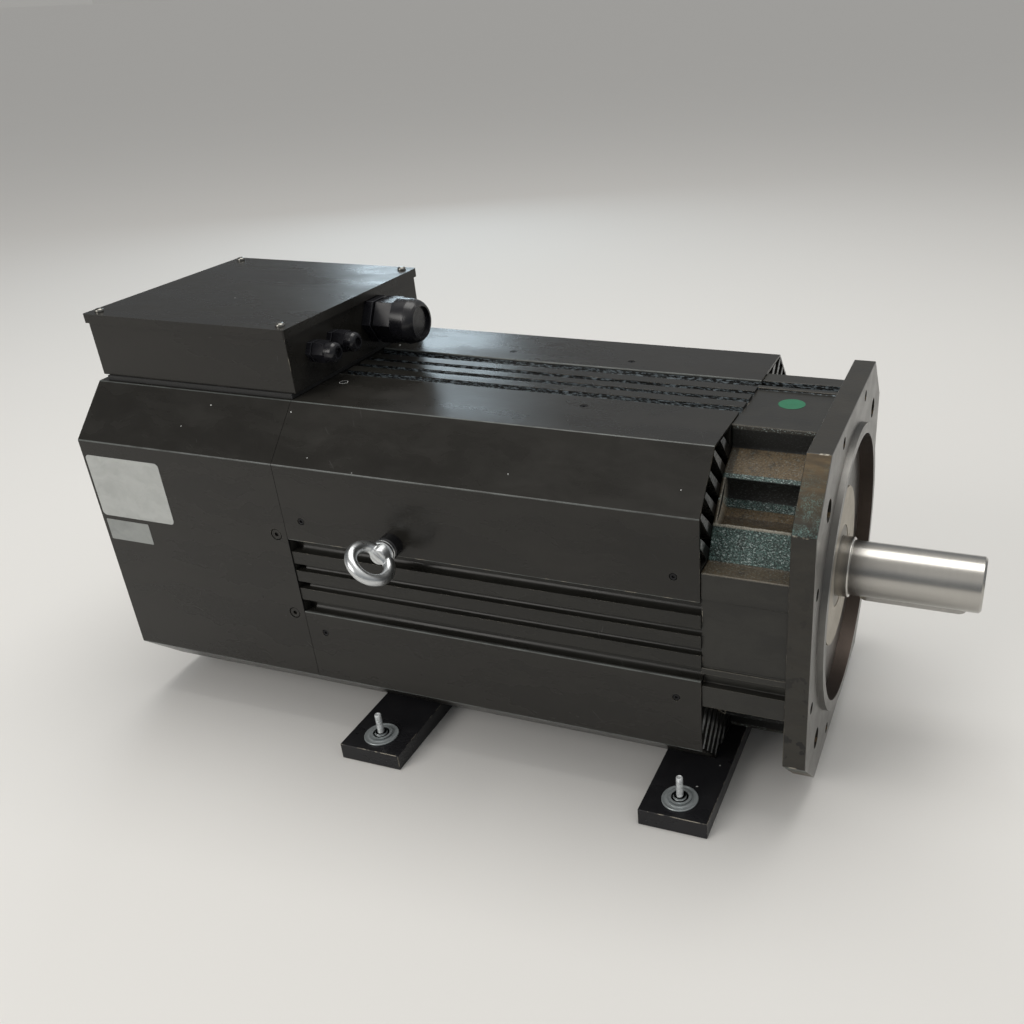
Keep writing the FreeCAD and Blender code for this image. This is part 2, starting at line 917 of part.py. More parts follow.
def build_stator_core():
    bore = size["stator_bore"] / 2
    outer = size["frame_bore"] / 2 - gap
    body = turned("stator_core", [(core_rear, bore), (core_rear, outer),
                                  (core_front, outer), (core_front, bore)])
    mouth, half, low, high = slot_section(0)
    sketch = new_sketch(body, "YZ_Plane", core_rear)
    open_end = bore - size["air_gap"]
    outline(sketch, [(-mouth, open_end), (-mouth, low), (-half, low), (-half, high),
                     (half, high), (half, low), (mouth, low), (mouth, open_end)])
    slot = pocket(body, sketch, size["core_length"])
    polar(body, [slot], STATOR_SLOTS)
    return body


def build_winding():
    """Wound coils: bars in the slots and a rounded ring of end turns at each end."""
    _, half, low, top = slot_section(clear)
    inner = low - clear
    high = inner + size["winding_height"]
    over = size["winding_overhang"]
    bevel = size["slot_neck"]

    def end_turns(face, way):
        end = face + over * way
        return [(face, inner), (face, high), (end - bevel * way, high),
                (end, high - bevel), (end, inner + bevel), (end - bevel * way, inner)]

    body = turned("stator_winding", end_turns(core_front + clear, 1))
    sketch = new_sketch(body, "YZ_Plane", core_rear - bevel)
    outline(sketch, rectangle(-half, half, low, top))
    bar = pad(body, sketch, size["core_length"] + bevel * 2)
    polar(body, [bar], STATOR_SLOTS)
    sketch = new_sketch(body, "XY_Plane")
    outline(sketch, end_turns(core_rear - clear, -1))
    spin(body, sketch)
    return body


def build_frame():
    """Extruded frame: tube, four grooved side blocks with air ducts, corner fins."""
    body = new_body("stator_frame")
    tube = size["frame_bore"] / 2 + size["frame_wall"]
    length = size["frame_length"]
    sketch = new_sketch(body, "YZ_Plane", joint)
    circle(sketch, 0, 0, tube)
    pad(body, sketch, length)

    tip = size["fin_tip"] / 2
    wide = size["fin_root"] / 2
    root = size["frame_bore"] / 2 + clear
    for step in range(FIN_PAIRS):
        offset = size["fin_pitch"] * (step + HALF)
        sketch = new_sketch(body, "YZ_Plane", joint)
        for a in (1, -1):
            for b in (1, -1):
                for c in (1, -1):
                    corners = [(root, offset * c - wide),
                               (diagonal_face, offset * c - tip),
                               (diagonal_face, offset * c + tip),
                               (root, offset * c + wide)]
                    outline(sketch, [((u - v) * DIAGONAL * a, (u + v) * DIAGONAL * b)
                                     for u, v in corners])
        pad(body, sketch, length)

    sketch = new_sketch(body, "YZ_Plane", joint)
    inset = size["sheet"] + size["fin_gap"]
    outline(sketch, octagon(body_half - inset,
                            size["body_corner"] - inset * OCTAGON_OFFSET))
    outline(sketch, rectangle(-diagonal_face, diagonal_face,
                              -diagonal_face, diagonal_face))
    pocket(body, sketch, length)

    half = size["block_half"]
    lands = size["land_half"]
    edge = lands + size["wide_groove"]
    wide_base = land_face - size["wide_centre_drop"]
    thin_near = size["thin_offset"] - size["thin_groove"] / 2
    thin_far = size["thin_offset"] + size["thin_groove"] / 2
    thin_base = land_face - size["thin_centre_drop"]
    section = [(-half, 0), (-half, inner_half), (-edge, inner_half), (-edge, wide_base),
               (-lands, wide_base), (-lands, land_face), (-thin_far, land_face),
               (-thin_far, thin_base), (-thin_near, thin_base), (-thin_near, land_face)]
    mirrored = [(-a, b) for a, b in reversed(section)]
    for side in ALL_SIDES:
        sketch = new_sketch(body, "YZ_Plane", joint)
        outline(sketch, [on_side(side, a, b) for a, b in section + mirrored])
        pad(body, sketch, length)

    sketch = new_sketch(body, "YZ_Plane", joint)
    wide = lands + size["wide_groove"] / 2
    for side in ALL_SIDES:
        for sign in (1, -1):
            circle(sketch, *on_side(side, wide * sign, wide_base),
                   size["wide_groove"] / 2)
            circle(sketch, *on_side(side, size["thin_offset"] * sign, thin_base),
                   size["thin_groove"] / 2)
    pocket(body, sketch, length)

    sketch = new_sketch(body, "YZ_Plane", joint)
    deep = land_face - size["groove_end_depth"]
    beyond = body_half * 2
    for side in ALL_SIDES:
        for low, high in ((lands, edge), (thin_near, thin_far), (-edge, -lands),
                          (-thin_far, -thin_near)):
            outline(sketch, [on_side(side, low, deep), on_side(side, high, deep),
                             on_side(side, high, beyond), on_side(side, low, beyond)])
    pocket(body, sketch, size["groove_end"])

    sketch = new_sketch(body, "YZ_Plane", joint)
    duct = size["duct_half"]
    top = inner_half - size["duct_cover"]
    for side in ALL_SIDES:
        low = top - size["duct_height"]
        outline(sketch, [on_side(side, -duct, low), on_side(side, duct, low),
                         on_side(side, duct, top), on_side(side, -duct, top)])
    pocket(body, sketch, length)

    sketch = new_sketch(body, "YZ_Plane", joint)
    circle(sketch, 0, 0, size["frame_bore"] / 2)
    pocket(body, sketch, length)

    sketch = new_sketch(body, "YZ_Plane", joint)
    for side in ALL_SIDES:
        circle(sketch, *on_side(side, 0, size["shield_screw_radius"]),
               size["shield_screw_shank"] / 2)
    pocket(body, sketch, size["shield_screw_length"] - size["rear_shield"] + clear)

    drill_frame(body)
    return body


def cover_screw_spots():
    """Places of the small cover screws: side, place along X and distance along the side."""
    line = size["cover_screw_line"]
    back = joint + size["cover_screw_end"]
    front = frame_front - size["cover_screw_front"]
    middle = joint + size["cover_screw_mid"]
    fore = joint + size["cover_screw_fore"]
    spots = []
    for side in ("top", "bottom"):
        spots += [(side, back, -line), (side, fore, -line)]
        spots += [(side, back, line), (side, middle, line), (side, fore, line)]
    for side in ("near", "far"):
        spots += [(side, x, z) for x in (back, front) for z in (line, -line)]
    return spots


def side_sketch(body, side, face):
    """Sketch lying on one side of the body; its first axis is X in both cases."""
    if side in ("top", "bottom"):
        return new_sketch(body, "XY_Plane", face if side == "top" else -face)
    return new_sketch(body, "XZ_Plane", face if side == "near" else -face)


def drill(body, side, face, places, radius, depth):
    """Round holes into one side of the body, from a face towards the axis."""
    sketch = side_sketch(body, side, face)
    for x, along in places:
        y, z = on_side(side, along, 0)
        circle(sketch, x, y if side in ("top", "bottom") else z, radius)
    outward = side in ("top", "near")
    return pocket(body, sketch, depth, forwards=not outward)


def drill_frame(body):
    """Threads for the cover screws, the foot screws and the lifting eye."""
    for side in ALL_SIDES:
        places = [(x, along) for at, x, along in cover_screw_spots() if at == side]
        drill(body, side, inner_half, places, size["cover_screw_shank"] / 2,
              size["cover_screw_length"])
    feet = [(-x, size["foot_screw_line"] * sign) for x in foot_places()
            for sign in (1, -1)]
    drill(body, "bottom", inner_half, feet, size["foot_screw_shank"] / 2,
          foot_screw_reach())
    drill(body, "near", inner_half, [(-size["eye_place"], -size["eye_height"])],
          size["eye_shank"] / 2, size["eye_shank_length"] - size["spacer_length"]
          - size["sheet"] + clear)


def foot_screw_reach():
    """Depth of the foot screws beyond the inside of the cover."""
    return (size["foot_screw_length"] - size["foot_thick"] + size["foot_counterbore"]
            - size["sheet"] + clear)


# Folded covers.

def build_cover(label, y_sign, z_sign):
    """L-shaped folded sheet over one corner, between two grooved bands of the frame."""
    body = new_body(label)
    outer = body_half
    inner = inner_half
    edge = size["cover_edge"]
    fold = outer - size["body_corner"]
    inner_fold = inner - (size["body_corner"] - size["sheet"] * OCTAGON_OFFSET)
    section = [(edge, outer), (fold, outer), (outer, fold), (outer, edge),
               (inner, edge), (inner, inner_fold), (inner_fold, inner), (edge, inner)]
    sketch = new_sketch(body, "YZ_Plane", joint + clear)
    outline(sketch, [(a * y_sign, b * z_sign) for a, b in section])
    shell = pad(body, sketch, size["frame_length"] - clear)
    spots = [Vector(0, number(a) * y_sign, number(b) * z_sign)
             for a, b in ((fold, outer), (outer, fold))]
    round_lines(body, shell, Vector(1, 0, 0), spots, size["fold_radius"])

    sides = ("top" if z_sign > 0 else "bottom", "far" if y_sign > 0 else "near")
    for side in sides:
        sign = y_sign if side in ("top", "bottom") else -z_sign
        places = [(x, along) for at, x, along in cover_screw_spots()
                  if at == side and number(along) * sign > 0]
        drill(body, side, outer, places, size["cover_screw_head"] / 2, size["sheet"])
    if z_sign < 0:
        feet = [(-x, size["foot_screw_line"] * y_sign) for x in foot_places()]
        drill(body, "bottom", outer, feet, size["foot_screw_shank"] / 2 + clear,
              size["sheet"])
    elif y_sign < 0:
        drill(body, "near", outer, [(-size["eye_place"], -size["eye_height"])],
              size["eye_shank"] / 2 + clear, size["sheet"])
    return body


FACING = {"top": UP, "bottom": DOWN, "near": NEAR, "far": FAR}


def build_cover_screws():
    members = []
    for side, x, along in cover_screw_spots():
        one = screw(size["cover_screw_head"] - clear, size["sheet"],
                    size["cover_screw_shank"] - gap * 2,
                    size["cover_screw_length"] - gap, socket=HALF)
        y, z = on_side(side, along, inner_half)
        place(one, x, y, z, FACING[side])
        members.append(one)
    return compound("cover_screws", members)


# Rear cover with its air opening and the passage for the cables.

def build_rear_cover():
    body = new_body("rear_cover")
    sketch = new_sketch(body, "YZ_Plane", joint)
    outline(sketch, octagon(body_half, size["body_corner"]))
    shell = pad(body, sketch, size["rear_length"], backwards=True)
    near = number(body_half - size["body_corner"])
    half = number(body_half)
    spots = [Vector(0, a * u, b * v) for a in (1, -1) for b in (1, -1)
             for u, v in ((near, half), (half, near))]
    round_lines(body, shell, Vector(1, 0, 0), spots, size["fold_radius"])

    sketch = new_sketch(body, "YZ_Plane", joint)
    corner = size["body_corner"] - size["sheet"] * OCTAGON_OFFSET
    outline(sketch, octagon(inner_half, corner))
    pocket(body, sketch, size["rear_length"] - size["sheet"], forwards=False)

    sketch = new_sketch(body, "YZ_Plane", rear_end)
    circle(sketch, 0, 0, size["air_opening"] / 2)
    pocket(body, sketch, size["sheet"])

    sketch = new_sketch(body, "XY_Plane", body_half)
    opening = cable_opening()
    outline(sketch, rectangle(*opening))
    pocket(body, sketch, size["sheet"], forwards=False)

    for side in ("near", "far"):
        drill(body, side, body_half, rear_screw_places(), size["rear_screw_head"] / 2,
              size["sheet"])
    return body


def cable_opening():
    start = joint - size["cable_opening_back"]
    half = size["cable_opening"] / 2
    return start - size["cable_opening"], start, -half, half


def rear_screw_places():
    line = size["rear_screw_line"]
    return [(joint - size["rear_screw_back"], line * sign) for sign in (1, -1)]


def build_rear_cover_screws():
    members = []
    for side in ("near", "far"):
        for x, along in rear_screw_places():
            one = screw(size["rear_screw_head"] - clear, size["sheet"],
                        size["rear_screw_shank"] - gap * 2,
                        size["rear_screw_length"] - gap, socket=HALF)
            y, z = on_side(side, along, inner_half)
            place(one, x, y, z, FACING[side])
            members.append(one)
    return compound("rear_cover_screws", members)


# Rear bearing shield: a cross with the same four faces as the frame blocks.

def build_rear_shield():
    body = new_body("rear_bearing_shield")
    arm = size["rear_arm_half"]
    reach = inner_half - clear
    sketch = new_sketch(body, "YZ_Plane", joint)
    outline(sketch, [(-arm, -reach), (arm, -reach), (arm, -arm), (reach, -arm),
                     (reach, arm), (arm, arm), (arm, reach), (-arm, reach),
                     (-arm, arm), (-reach, arm), (-reach, -arm), (-arm, -arm)])
    pad(body, sketch, size["rear_shield"], backwards=True)
    sketch = new_sketch(body, "YZ_Plane", joint)
    circle(sketch, 0, 0, size["rear_hub"] / 2)
    pad(body, sketch, size["rear_hub_length"])

    bore = size["rear_bearing_od"] / 2
    lip = bore - size["lip_height"]
    front = joint + size["rear_hub_length"]
    sketch = new_sketch(body, "XY_Plane")
    outline(sketch, [(shield_back - BEYOND, 0), (shield_back - BEYOND, bore),
                     (rear_race_front, bore), (rear_race_front, lip),
                     (front + BEYOND, lip), (front + BEYOND, 0)])
    spin(body, sketch, cut=True)

    sketch = new_sketch(body, "YZ_Plane", joint)
    for side in ALL_SIDES:
        circle(sketch, *on_side(side, 0, size["shield_screw_radius"]),
               size["shield_screw_shank"] / 2 + clear)
    pocket(body, sketch, size["rear_shield"], forwards=False)
    for side in ("near", "far"):
        drill(body, side, reach, rear_screw_places(), size["rear_screw_shank"] / 2,
              size["rear_screw_length"])
    return body


def build_shield_screws():
    members = []
    for side in ALL_SIDES:
        one = screw(size["shield_screw_head"], size["shield_screw_head_height"],
                    size["shield_screw_shank"] - gap * 2, size["shield_screw_length"],
                    socket=HALF)
        y, z = on_side(side, 0, size["shield_screw_radius"])
        members.append(place(one, shield_back, y, z, BACK))
    return compound("shield_screws", members)


# Shaft encoder behind the rear bearing.

def build_encoder():
    hole = size["encoder_opening"] / 2
    flange = turned("encoder_flange", [
        (encoder_face, hole), (encoder_face, size["encoder_flange_dia"] / 2),
        (shield_back, size["encoder_flange_dia"] / 2), (shield_back, hole)])

    outer = size["encoder_dia"] / 2
    bore = size["encoder_bore"] / 2
    back = encoder_face - size["encoder_length"]
    cap = back - size["encoder_cap"]
    bevel = size["encoder_cap"] * HALF
    housing = turned("encoder_housing", [
        (encoder_face, bore), (encoder_face, outer), (cap + bevel, outer),
        (cap, outer - bevel), (cap, 0), (back, 0), (back, bore)])

    seat = size["stub_dia"] / 2 + gap
    wide = size["encoder_hub_dia"] / 2
    front = encoder_face - clear
    hub = turned("encoder_hub", [
        (front - size["encoder_hub_length"], seat),
        (front - size["encoder_hub_length"], wide), (front, wide), (front, seat)])
    return flange, housing, hub


# Cooling fan in the rear cover.

fan_back = rear_end + size["sheet"]
fan_motor_back = fan_back + size["fan_motor_back"]
fan_seat_front = fan_motor_back + size["fan_seat"]
fan_motor_front = fan_motor_back + size["fan_motor_length"]
fan_hub_back = fan_seat_front + size["fan_hub_gap"]
fan_hub_front = fan_motor_front + size["fan_hub_gap"] + size["fan_hub_wall"]
fan_hub_inner = size["fan_motor_dia"] / 2 + size["fan_hub_gap"]
fan_hub_outer = fan_hub_inner + size["fan_hub_wall"]


def build_fan_frame():
    """Duct ring with its mounting flange and four struts that carry the motor."""
    duct = size["fan_duct"] / 2
    outer = duct + size["fan_duct_wall"]
    flange_front = fan_back + size["fan_flange_thick"]
    duct_front = fan_back + size["fan_duct_length"]
    body = turned("fan_frame", [
        (fan_back, duct), (fan_back, size["fan_flange"] / 2),
        (flange_front, size["fan_flange"] / 2), (flange_front, outer),
        (duct_front, outer), (duct_front, duct)])
    seat = size["fan_motor_dia"] / 2 + gap
    half = size["fan_strut"] / 2
    bite = size["fan_duct_wall"] * HALF
    sketch = new_sketch(body, "YZ_Plane", fan_motor_back)
    for side in ALL_SIDES:
        outline(sketch, [on_side(side, -half, seat + bite),
                         on_side(side, half, seat + bite),
                         on_side(side, half, duct + bite),
                         on_side(side, -half, duct + bite)])
    pad(body, sketch, size["fan_seat"])
    sketch = new_sketch(body, "YZ_Plane", fan_motor_back)
    circle(sketch, 0, 0, seat + size["fan_duct_wall"])
    circle(sketch, 0, 0, seat)
    pad(body, sketch, size["fan_seat"])
    return body


def build_fan_motor():
    outer = size["fan_motor_dia"] / 2
    bore = size["fan_shaft_dia"] / 2 + clear
    bevel = size["fan_hub_gap"]
    return turned("fan_motor", [
        (fan_motor_back, 0), (fan_motor_back, outer - bevel),
        (fan_motor_back + bevel, outer), (fan_motor_front, outer),
        (fan_motor_front, bore), (fan_seat_front, bore), (fan_seat_front, 0)])


def build_fan_shaft():
    radius = size["fan_shaft_dia"] / 2
    start = fan_seat_front + clear
    return turned("fan_shaft", [(start, 0), (start, radius), (fan_hub_front, radius),
                                (fan_hub_front, 0)])


def build_impeller():
    """Fan wheel: a cup over the motor with blades that lean from root to tip."""
    bore = size["fan_shaft_dia"] / 2 + gap
    inside = fan_hub_front - size["fan_hub_wall"]
    body = turned("fan_impeller", [
        (fan_hub_back, fan_hub_inner), (fan_hub_back, fan_hub_outer),
        (fan_hub_front, fan_hub_outer), (fan_hub_front, bore), (inside, bore),
        (inside, fan_hub_inner)])
    middle = (fan_hub_back + fan_hub_front) / 2
    root = fan_hub_outer - size["fan_hub_wall"] * HALF
    tip = size["fan_duct"] / 2 - size["fan_tip_gap"]
    pitch = SIZES["fan_blade_root_pitch"]
    sections = []
    for height, lean in ((root, pitch), (tip, pitch - SIZES["fan_blade_twist"])):
        angle = math.radians(lean)
        reach = size["fan_chord"] / 2
        thick = size["fan_blade"] / 2
        sketch = new_sketch(body, "XY_Plane", height)
        along = (math.sin(angle), math.cos(angle))
        across = (math.cos(angle), -math.sin(angle))
        outline(sketch, [(middle + reach * (u * along[0]) + thick * (v * across[0]),
                          reach * (u * along[1]) + thick * (v * across[1]))
                         for u, v in ((-1, -1), (1, -1), (1, 1), (-1, 1))])
        sections.append(sketch)
    blade = body.newObject("PartDesign::AdditiveLoft", "Blade")
    blade.Profile = sections[0]
    blade.Sections = sections[1:]
    polar(body, [blade], FAN_BLADES)
    return body


def build_fan_guard():
    """Finger guard: flat rings joined by a cross, seated in the back of the duct."""
    wire = size["guard_wire"]
    edge = size["fan_duct"] / 2 - gap
    half = wire / 2
    body = new_body("fan_guard")
    sketch = new_sketch(body, "YZ_Plane", fan_back)
    outline(sketch, [(-half, -edge + half), (half, -edge + half), (half, -half),
                     (edge - half, -half), (edge - half, half), (half, half),
                     (half, edge - half), (-half, edge - half), (-half, half),
                     (-edge + half, half), (-edge + half, -half), (-half, -half)])
    pad(body, sketch, wire)
    for step in range(GUARD_RINGS):
        outer = edge - size["guard_step"] * step
        sketch = new_sketch(body, "YZ_Plane", fan_back)
        circle(sketch, 0, 0, outer)
        circle(sketch, 0, 0, outer - wire)
        pad(body, sketch, wire)
    return body


# Junction box on top of the rear cover.

box_front = joint + size["box_overhang"]
box_back = box_front - size["box_length"]
box_base = body_half + size["gasket_height"]
lid_under = size["box_top"] - size["lid_sheet"]
wall_out = size["lid_sheet"] + clear
wall_front = box_front - wall_out


def box_outline(inset):
    half = size["box_width"] / 2 - inset
    return box_back + inset, box_front - inset, -half, half


def build_gasket():
    """Raised neck that carries the box; its front end stops at the frame joint."""
    body = new_body("box_gasket")
    inset = size["gasket_inset"]
    half = body_half - size["body_corner"] - size["fold_radius"] - clear
    back = box_back + inset
    front = joint - clear
    wall = size["gasket_wall"]
    sketch = new_sketch(body, "XY_Plane", body_half)
    outline(sketch, rectangle(back, front, -half, half))
    outline(sketch, rectangle(back + wall, front - wall, -half + wall, half - wall))
    pad(body, sketch, size["gasket_height"])
    return body


def build_grommet():
    """Rubber plug in the cable passage between the rear cover and the junction box."""
    body = new_body("lead_grommet")
    x_low, x_high, y_low, y_high = cable_opening()
    low = inner_half - size["grommet_collar"]
    floor = box_base + size["box_floor"]
    sketch = new_sketch(body, "XY_Plane", low)
    outline(sketch, rectangle(x_low + clear, x_high - clear, y_low + clear,
                              y_high - clear))
    pad(body, sketch, floor - low)
    rim = size["grommet_rim"]
    sketch = new_sketch(body, "XY_Plane", floor)
    outline(sketch, rectangle(x_low - rim, x_high + rim, y_low - rim, y_high + rim))
    pad(body, sketch, size["grommet_rim_height"])
    return body


def build_junction_box():
    """Tray with a corner post for each lid screw and a hole for every gland."""
    body = new_body("junction_box")
    sketch = new_sketch(body, "XY_Plane", box_base)
    outline(sketch, rectangle(*box_outline(wall_out)))
    pad(body, sketch, lid_under - box_base)

    inner = wall_out + size["box_wall"]
    post = wall_out + size["box_post"]
    x_low, x_high, y_low, y_high = box_outline(inner)
    x_in, x_out, y_in, y_out = box_outline(post)
    sketch = new_sketch(body, "XY_Plane", box_base + size["box_floor"])
    outline(sketch, [(x_in, y_low), (x_out, y_low), (x_out, y_in), (x_high, y_in),
                     (x_high, y_out), (x_out, y_out), (x_out, y_high), (x_in, y_high),
                     (x_in, y_out), (x_low, y_out), (x_low, y_in), (x_in, y_in)])
    pocket(body, sketch, lid_under - box_base)

    sketch = new_sketch(body, "XY_Plane", box_base)
    outline(sketch, rectangle(*cable_opening()))
    pocket(body, sketch, size["box_floor"])

    sketch = new_sketch(body, "YZ_Plane", wall_front)
    for y, kind in gland_places():
        circle(sketch, y, size["gland_height"], size[kind + "_gland_thread"] / 2 + clear)
    pocket(body, sketch, size["box_wall"], forwards=False)

    sketch = new_sketch(body, "XY_Plane", lid_under)
    for x, y in lid_screw_places():
        circle(sketch, x, y, size["lid_screw_shank"] / 2)
    pocket(body, sketch, size["lid_screw_length"], forwards=False)
    return body


def gland_places():
    first = size["signal_gland_place"]
    return [(size["power_gland_place"], "power"), (first, "signal"),
            (first + size["signal_gland_pitch"], "signal")]


def lid_screw_places():
    x_low, x_high, y_low, y_high = box_outline(size["lid_screw_inset"])
    return [(x, y) for x in (x_low, x_high) for y in (y_low, y_high)]


def build_lid():
    body = new_body("box_lid")
    x_low, x_high, y_low, y_high = box_outline(0)
    sketch = new_sketch(body, "XY_Plane", size["box_top"] - size["lid_lip"])
    outline(sketch, rectangle(x_low, x_high, y_low, y_high))
    block = pad(body, sketch, size["lid_lip"])
    spots = [Vector(number(x), number(y), 0) for x in (x_low, x_high)
             for y in (y_low, y_high)]
    round_lines(body, block, Vector(0, 0, 1), spots, size["sheet"])
    sketch = new_sketch(body, "XY_Plane", size["box_top"] - size["lid_lip"])
    outline(sketch, rectangle(*box_outline(size["lid_sheet"])))
    pocket(body, sketch, size["lid_lip"] - size["lid_sheet"])
    sketch = new_sketch(body, "XY_Plane", size["box_top"])
    for x, y in lid_screw_places():
        circle(sketch, x, y, size["lid_screw_shank"] / 2 + clear)
    pocket(body, sketch, size["lid_sheet"], forwards=False)
    return body


def build_lid_screws():
    members = []
    head = size["lid_screw_head"] / 2
    rise = size["lid_screw_rise"]
    shank = size["lid_screw_shank"] / 2 - gap
    for x, y in lid_screw_places():
        one = upright("lid_screw", [
            (0, -size["lid_screw_length"]), (shank, -size["lid_screw_length"]),
            (shank, 0), (head, 0), (head, rise * HALF), (head * DIAGONAL, rise),
            (0, rise)])
        members.append(place(one, x, y, size["box_top"]))
    return compound("lid_screws", members)


def build_terminals():
    """Terminal block on the floor of the box, with its row of studs."""
    floor = box_base + size["box_floor"]
    length = size["terminal_length"]
    width = size["terminal_width"]
    height = size["terminal_height"]
    x = cable_opening()[0] - size["gasket_wall"] - width
    base = box(width, length, height, x, -length / 2, floor)
    studs = []
    holes = []
    for step in range(TERMINALS):
        y = size["terminal_pitch"] * (step - (TERMINALS - 1) * HALF)
        middle = x + width / 2
        radius = size["terminal_stud"] / 2
        holes.append(cylinder(radius, height, middle, y, floor + height / 2))
        studs.append(cylinder(radius - gap, height / 2 + size["terminal_rise"], middle, y,
                              floor + height / 2))
    block = cut("terminal_block", base, fuse("stud_holes", holes))
    return block, compound("terminal_studs", studs)


# Cable glands: hexagon base against the box wall, domed cap, and a blanking plug.

def build_gland_base(label, kind, y):
    """Threaded body with its hexagon; local Z points out of the wall."""
    hexa = size[kind + "_gland_hex"]
    thread = size[kind + "_gland_thread"] / 2
    base = size[kind + "_gland_base"]
    reach = size["gland_thread_reach"]
    bore = size[kind + "_gland_bore"] / 2
    grip = thread - size[kind + "_gland_gap"]
    top = base + size[kind + "_gland_gap"] + size[kind + "_gland_body"]
    flange = hexagon(hexa, base)
    stem = cylinder(thread - gap, reach + base, z=-reach)
    nose = cylinder(grip, top, z=0)
    hole = cylinder(bore, top + reach + BEYOND, z=-reach)
    whole = fuse(label + "_solid", [flange, stem, nose])
    body = cut(label, whole, hole)
    return place(body, wall_front, y, size["gland_height"], OUT)


def build_gland_cap(label, kind, y):
    """Cap nut: a hexagon skirt that runs into a dome with a round mouth."""
    hexa = size[kind + "_gland_hex"]
    thread = size[kind + "_gland_thread"] / 2
    start = size[kind + "_gland_base"] + size[kind + "_gland_gap"]
    skirt = size[kind + "_gland_body"]
    total = size[kind + "_gland_cap"] + size[kind + "_gland_dome"]
    dome = size[kind + "_gland_dome"]
    taper = size[kind + "_gland_taper"]
    grip = thread - size[kind + "_gland_gap"] + gap
    shoulder = total - dome
    radius = size[kind + "_gland_cap_dia"] / 2
    skirt_nut = hexagon(hexa, skirt, z=start)
    shell = upright(label + "_dome", [
        (0, start + skirt), (radius, start + skirt), (radius, start + shoulder),
        (radius - taper * HALF * HALF, start + shoulder + dome * HALF),
        (radius - taper * HALF, start + total - dome * HALF * HALF),
        (radius - taper, start + total), (0, start + total)])
    mouth = cylinder(size[kind + "_gland_mouth"] / 2, total, z=start + skirt)
    inside = cylinder(grip, skirt + clear, z=start)
    whole = fuse(label + "_solid", [skirt_nut, shell])
    hollow = fuse(label + "_hollow", [mouth, inside])
    cap = cut(label, whole, hollow)
    return place(cap, wall_front, y, size["gland_height"], OUT)


def build_gland_plug(label, kind, y):
    """Blanking plug: a stem in the body's bore and a head that fills the cap's mouth."""
    bore = size[kind + "_gland_bore"] / 2 - gap
    head = size[kind + "_gland_mouth"] / 2 - gap
    start = size[kind + "_gland_base"] + size[kind + "_gland_gap"]
    top = (start + size[kind + "_gland_cap"] + size[kind + "_gland_dome"]
           - size["plug_depth"])
    seat = start + size[kind + "_gland_body"] + clear
    low = size[kind + "_gland_base"]
    plug = upright(label, [(0, low), (bore, low), (bore, seat), (head, seat),
                           (head, top), (0, top)])
    return place(plug, wall_front, y, size["gland_height"], OUT)


# Lifting eye with its spacer on the near side.

def build_eye():
    """Ring bolt: local Z runs out of the side, the ring lies in the local XZ plane."""
    ring = doc.addObject("Part::Torus", "Ring")
    tube = (size["eye_ring_outer"] - size["eye_ring_inner"]) / 4
    bind(ring, "Radius1", (size["eye_ring_outer"] + size["eye_ring_inner"]) / 4)
    bind(ring, "Radius2", tube)
    place(ring, z=size["eye_rise"], rotation=NEAR)
    collar = cylinder(size["eye_collar"] / 2, size["eye_collar_height"])
    neck = cone(size["eye_collar"] / 2, size["eye_neck"] / 2,
                size["eye_rise"] - size["eye_ring_inner"] / 2 + size["eye_web"])
    shank = cylinder(size["eye_shank"] / 2 - gap, size["eye_shank_length"],
                     z=-size["eye_shank_length"])
    eye = fuse("eye_bolt", [shank, collar, neck, ring])
    turn = Rotation(Vector(0, 1, 0), SIZES["eye_turn"])
    return place(eye, -size["eye_place"], -(body_half + size["spacer_length"]),
                 size["eye_height"], turn.multiply(NEAR))


def build_spacer():
    outer = size["spacer_dia"] / 2
    inner = size["eye_shank"] / 2 + clear
    bevel = size["sheet"] * HALF
    length = size["spacer_length"]
    body = upright("eye_spacer", [(inner, 0), (outer, 0), (outer, length - bevel),
                                  (outer - bevel, length), (inner, length)])
    return place(body, -size["eye_place"], -body_half, size["eye_height"], NEAR)


# Foot bars, their screws into the frame, and the fixing studs at their ends.

def build_foot(label, place_x):
    body = new_body(label)
    half_x = size["foot_width"] / 2
    half_y = size["foot_length"] / 2
    sketch = new_sketch(body, "XY_Plane", -body_half)
    outline(sketch, rectangle(-place_x - half_x, -place_x + half_x, -half_y, half_y))
    pad(body, sketch, size["foot_thick"], backwards=True)
    low = -body_half - size["foot_thick"]
    sketch = new_sketch(body, "XY_Plane", low)
    for sign in (1, -1):
        circle(sketch, -place_x, size["foot_screw_line"] * sign,
               size["foot_screw_shank"] / 2 + clear)
        circle(sketch, -place_x, size["stud_place"] * sign, size["stud_shank"] / 2)
    pocket(body, sketch, size["foot_thick"])
    sketch = new_sketch(body, "XY_Plane", low)
    for sign in (1, -1):
        circle(sketch, -place_x, size["foot_screw_line"] * sign,
               size["foot_screw_head"] / 2 + clear)
    pocket(body, sketch, size["foot_counterbore"])
    return body


def foot_places():
    return size["foot_front"], size["foot_rear"]


def build_foot_screws():
    members = []
    seat = -body_half - size["foot_thick"] + size["foot_counterbore"]
    head = size["foot_counterbore"] - size["sheet"] * HALF
    for place_x in foot_places():
        for sign in (1, -1):
            one = screw(size["foot_screw_head"], head,
                        size["foot_screw_shank"] - gap * 2, size["foot_screw_length"],
                        socket=HALF)
            members.append(place(one, -place_x, size["foot_screw_line"] * sign, seat,
                                 DOWN))
    return compound("foot_screws", members)


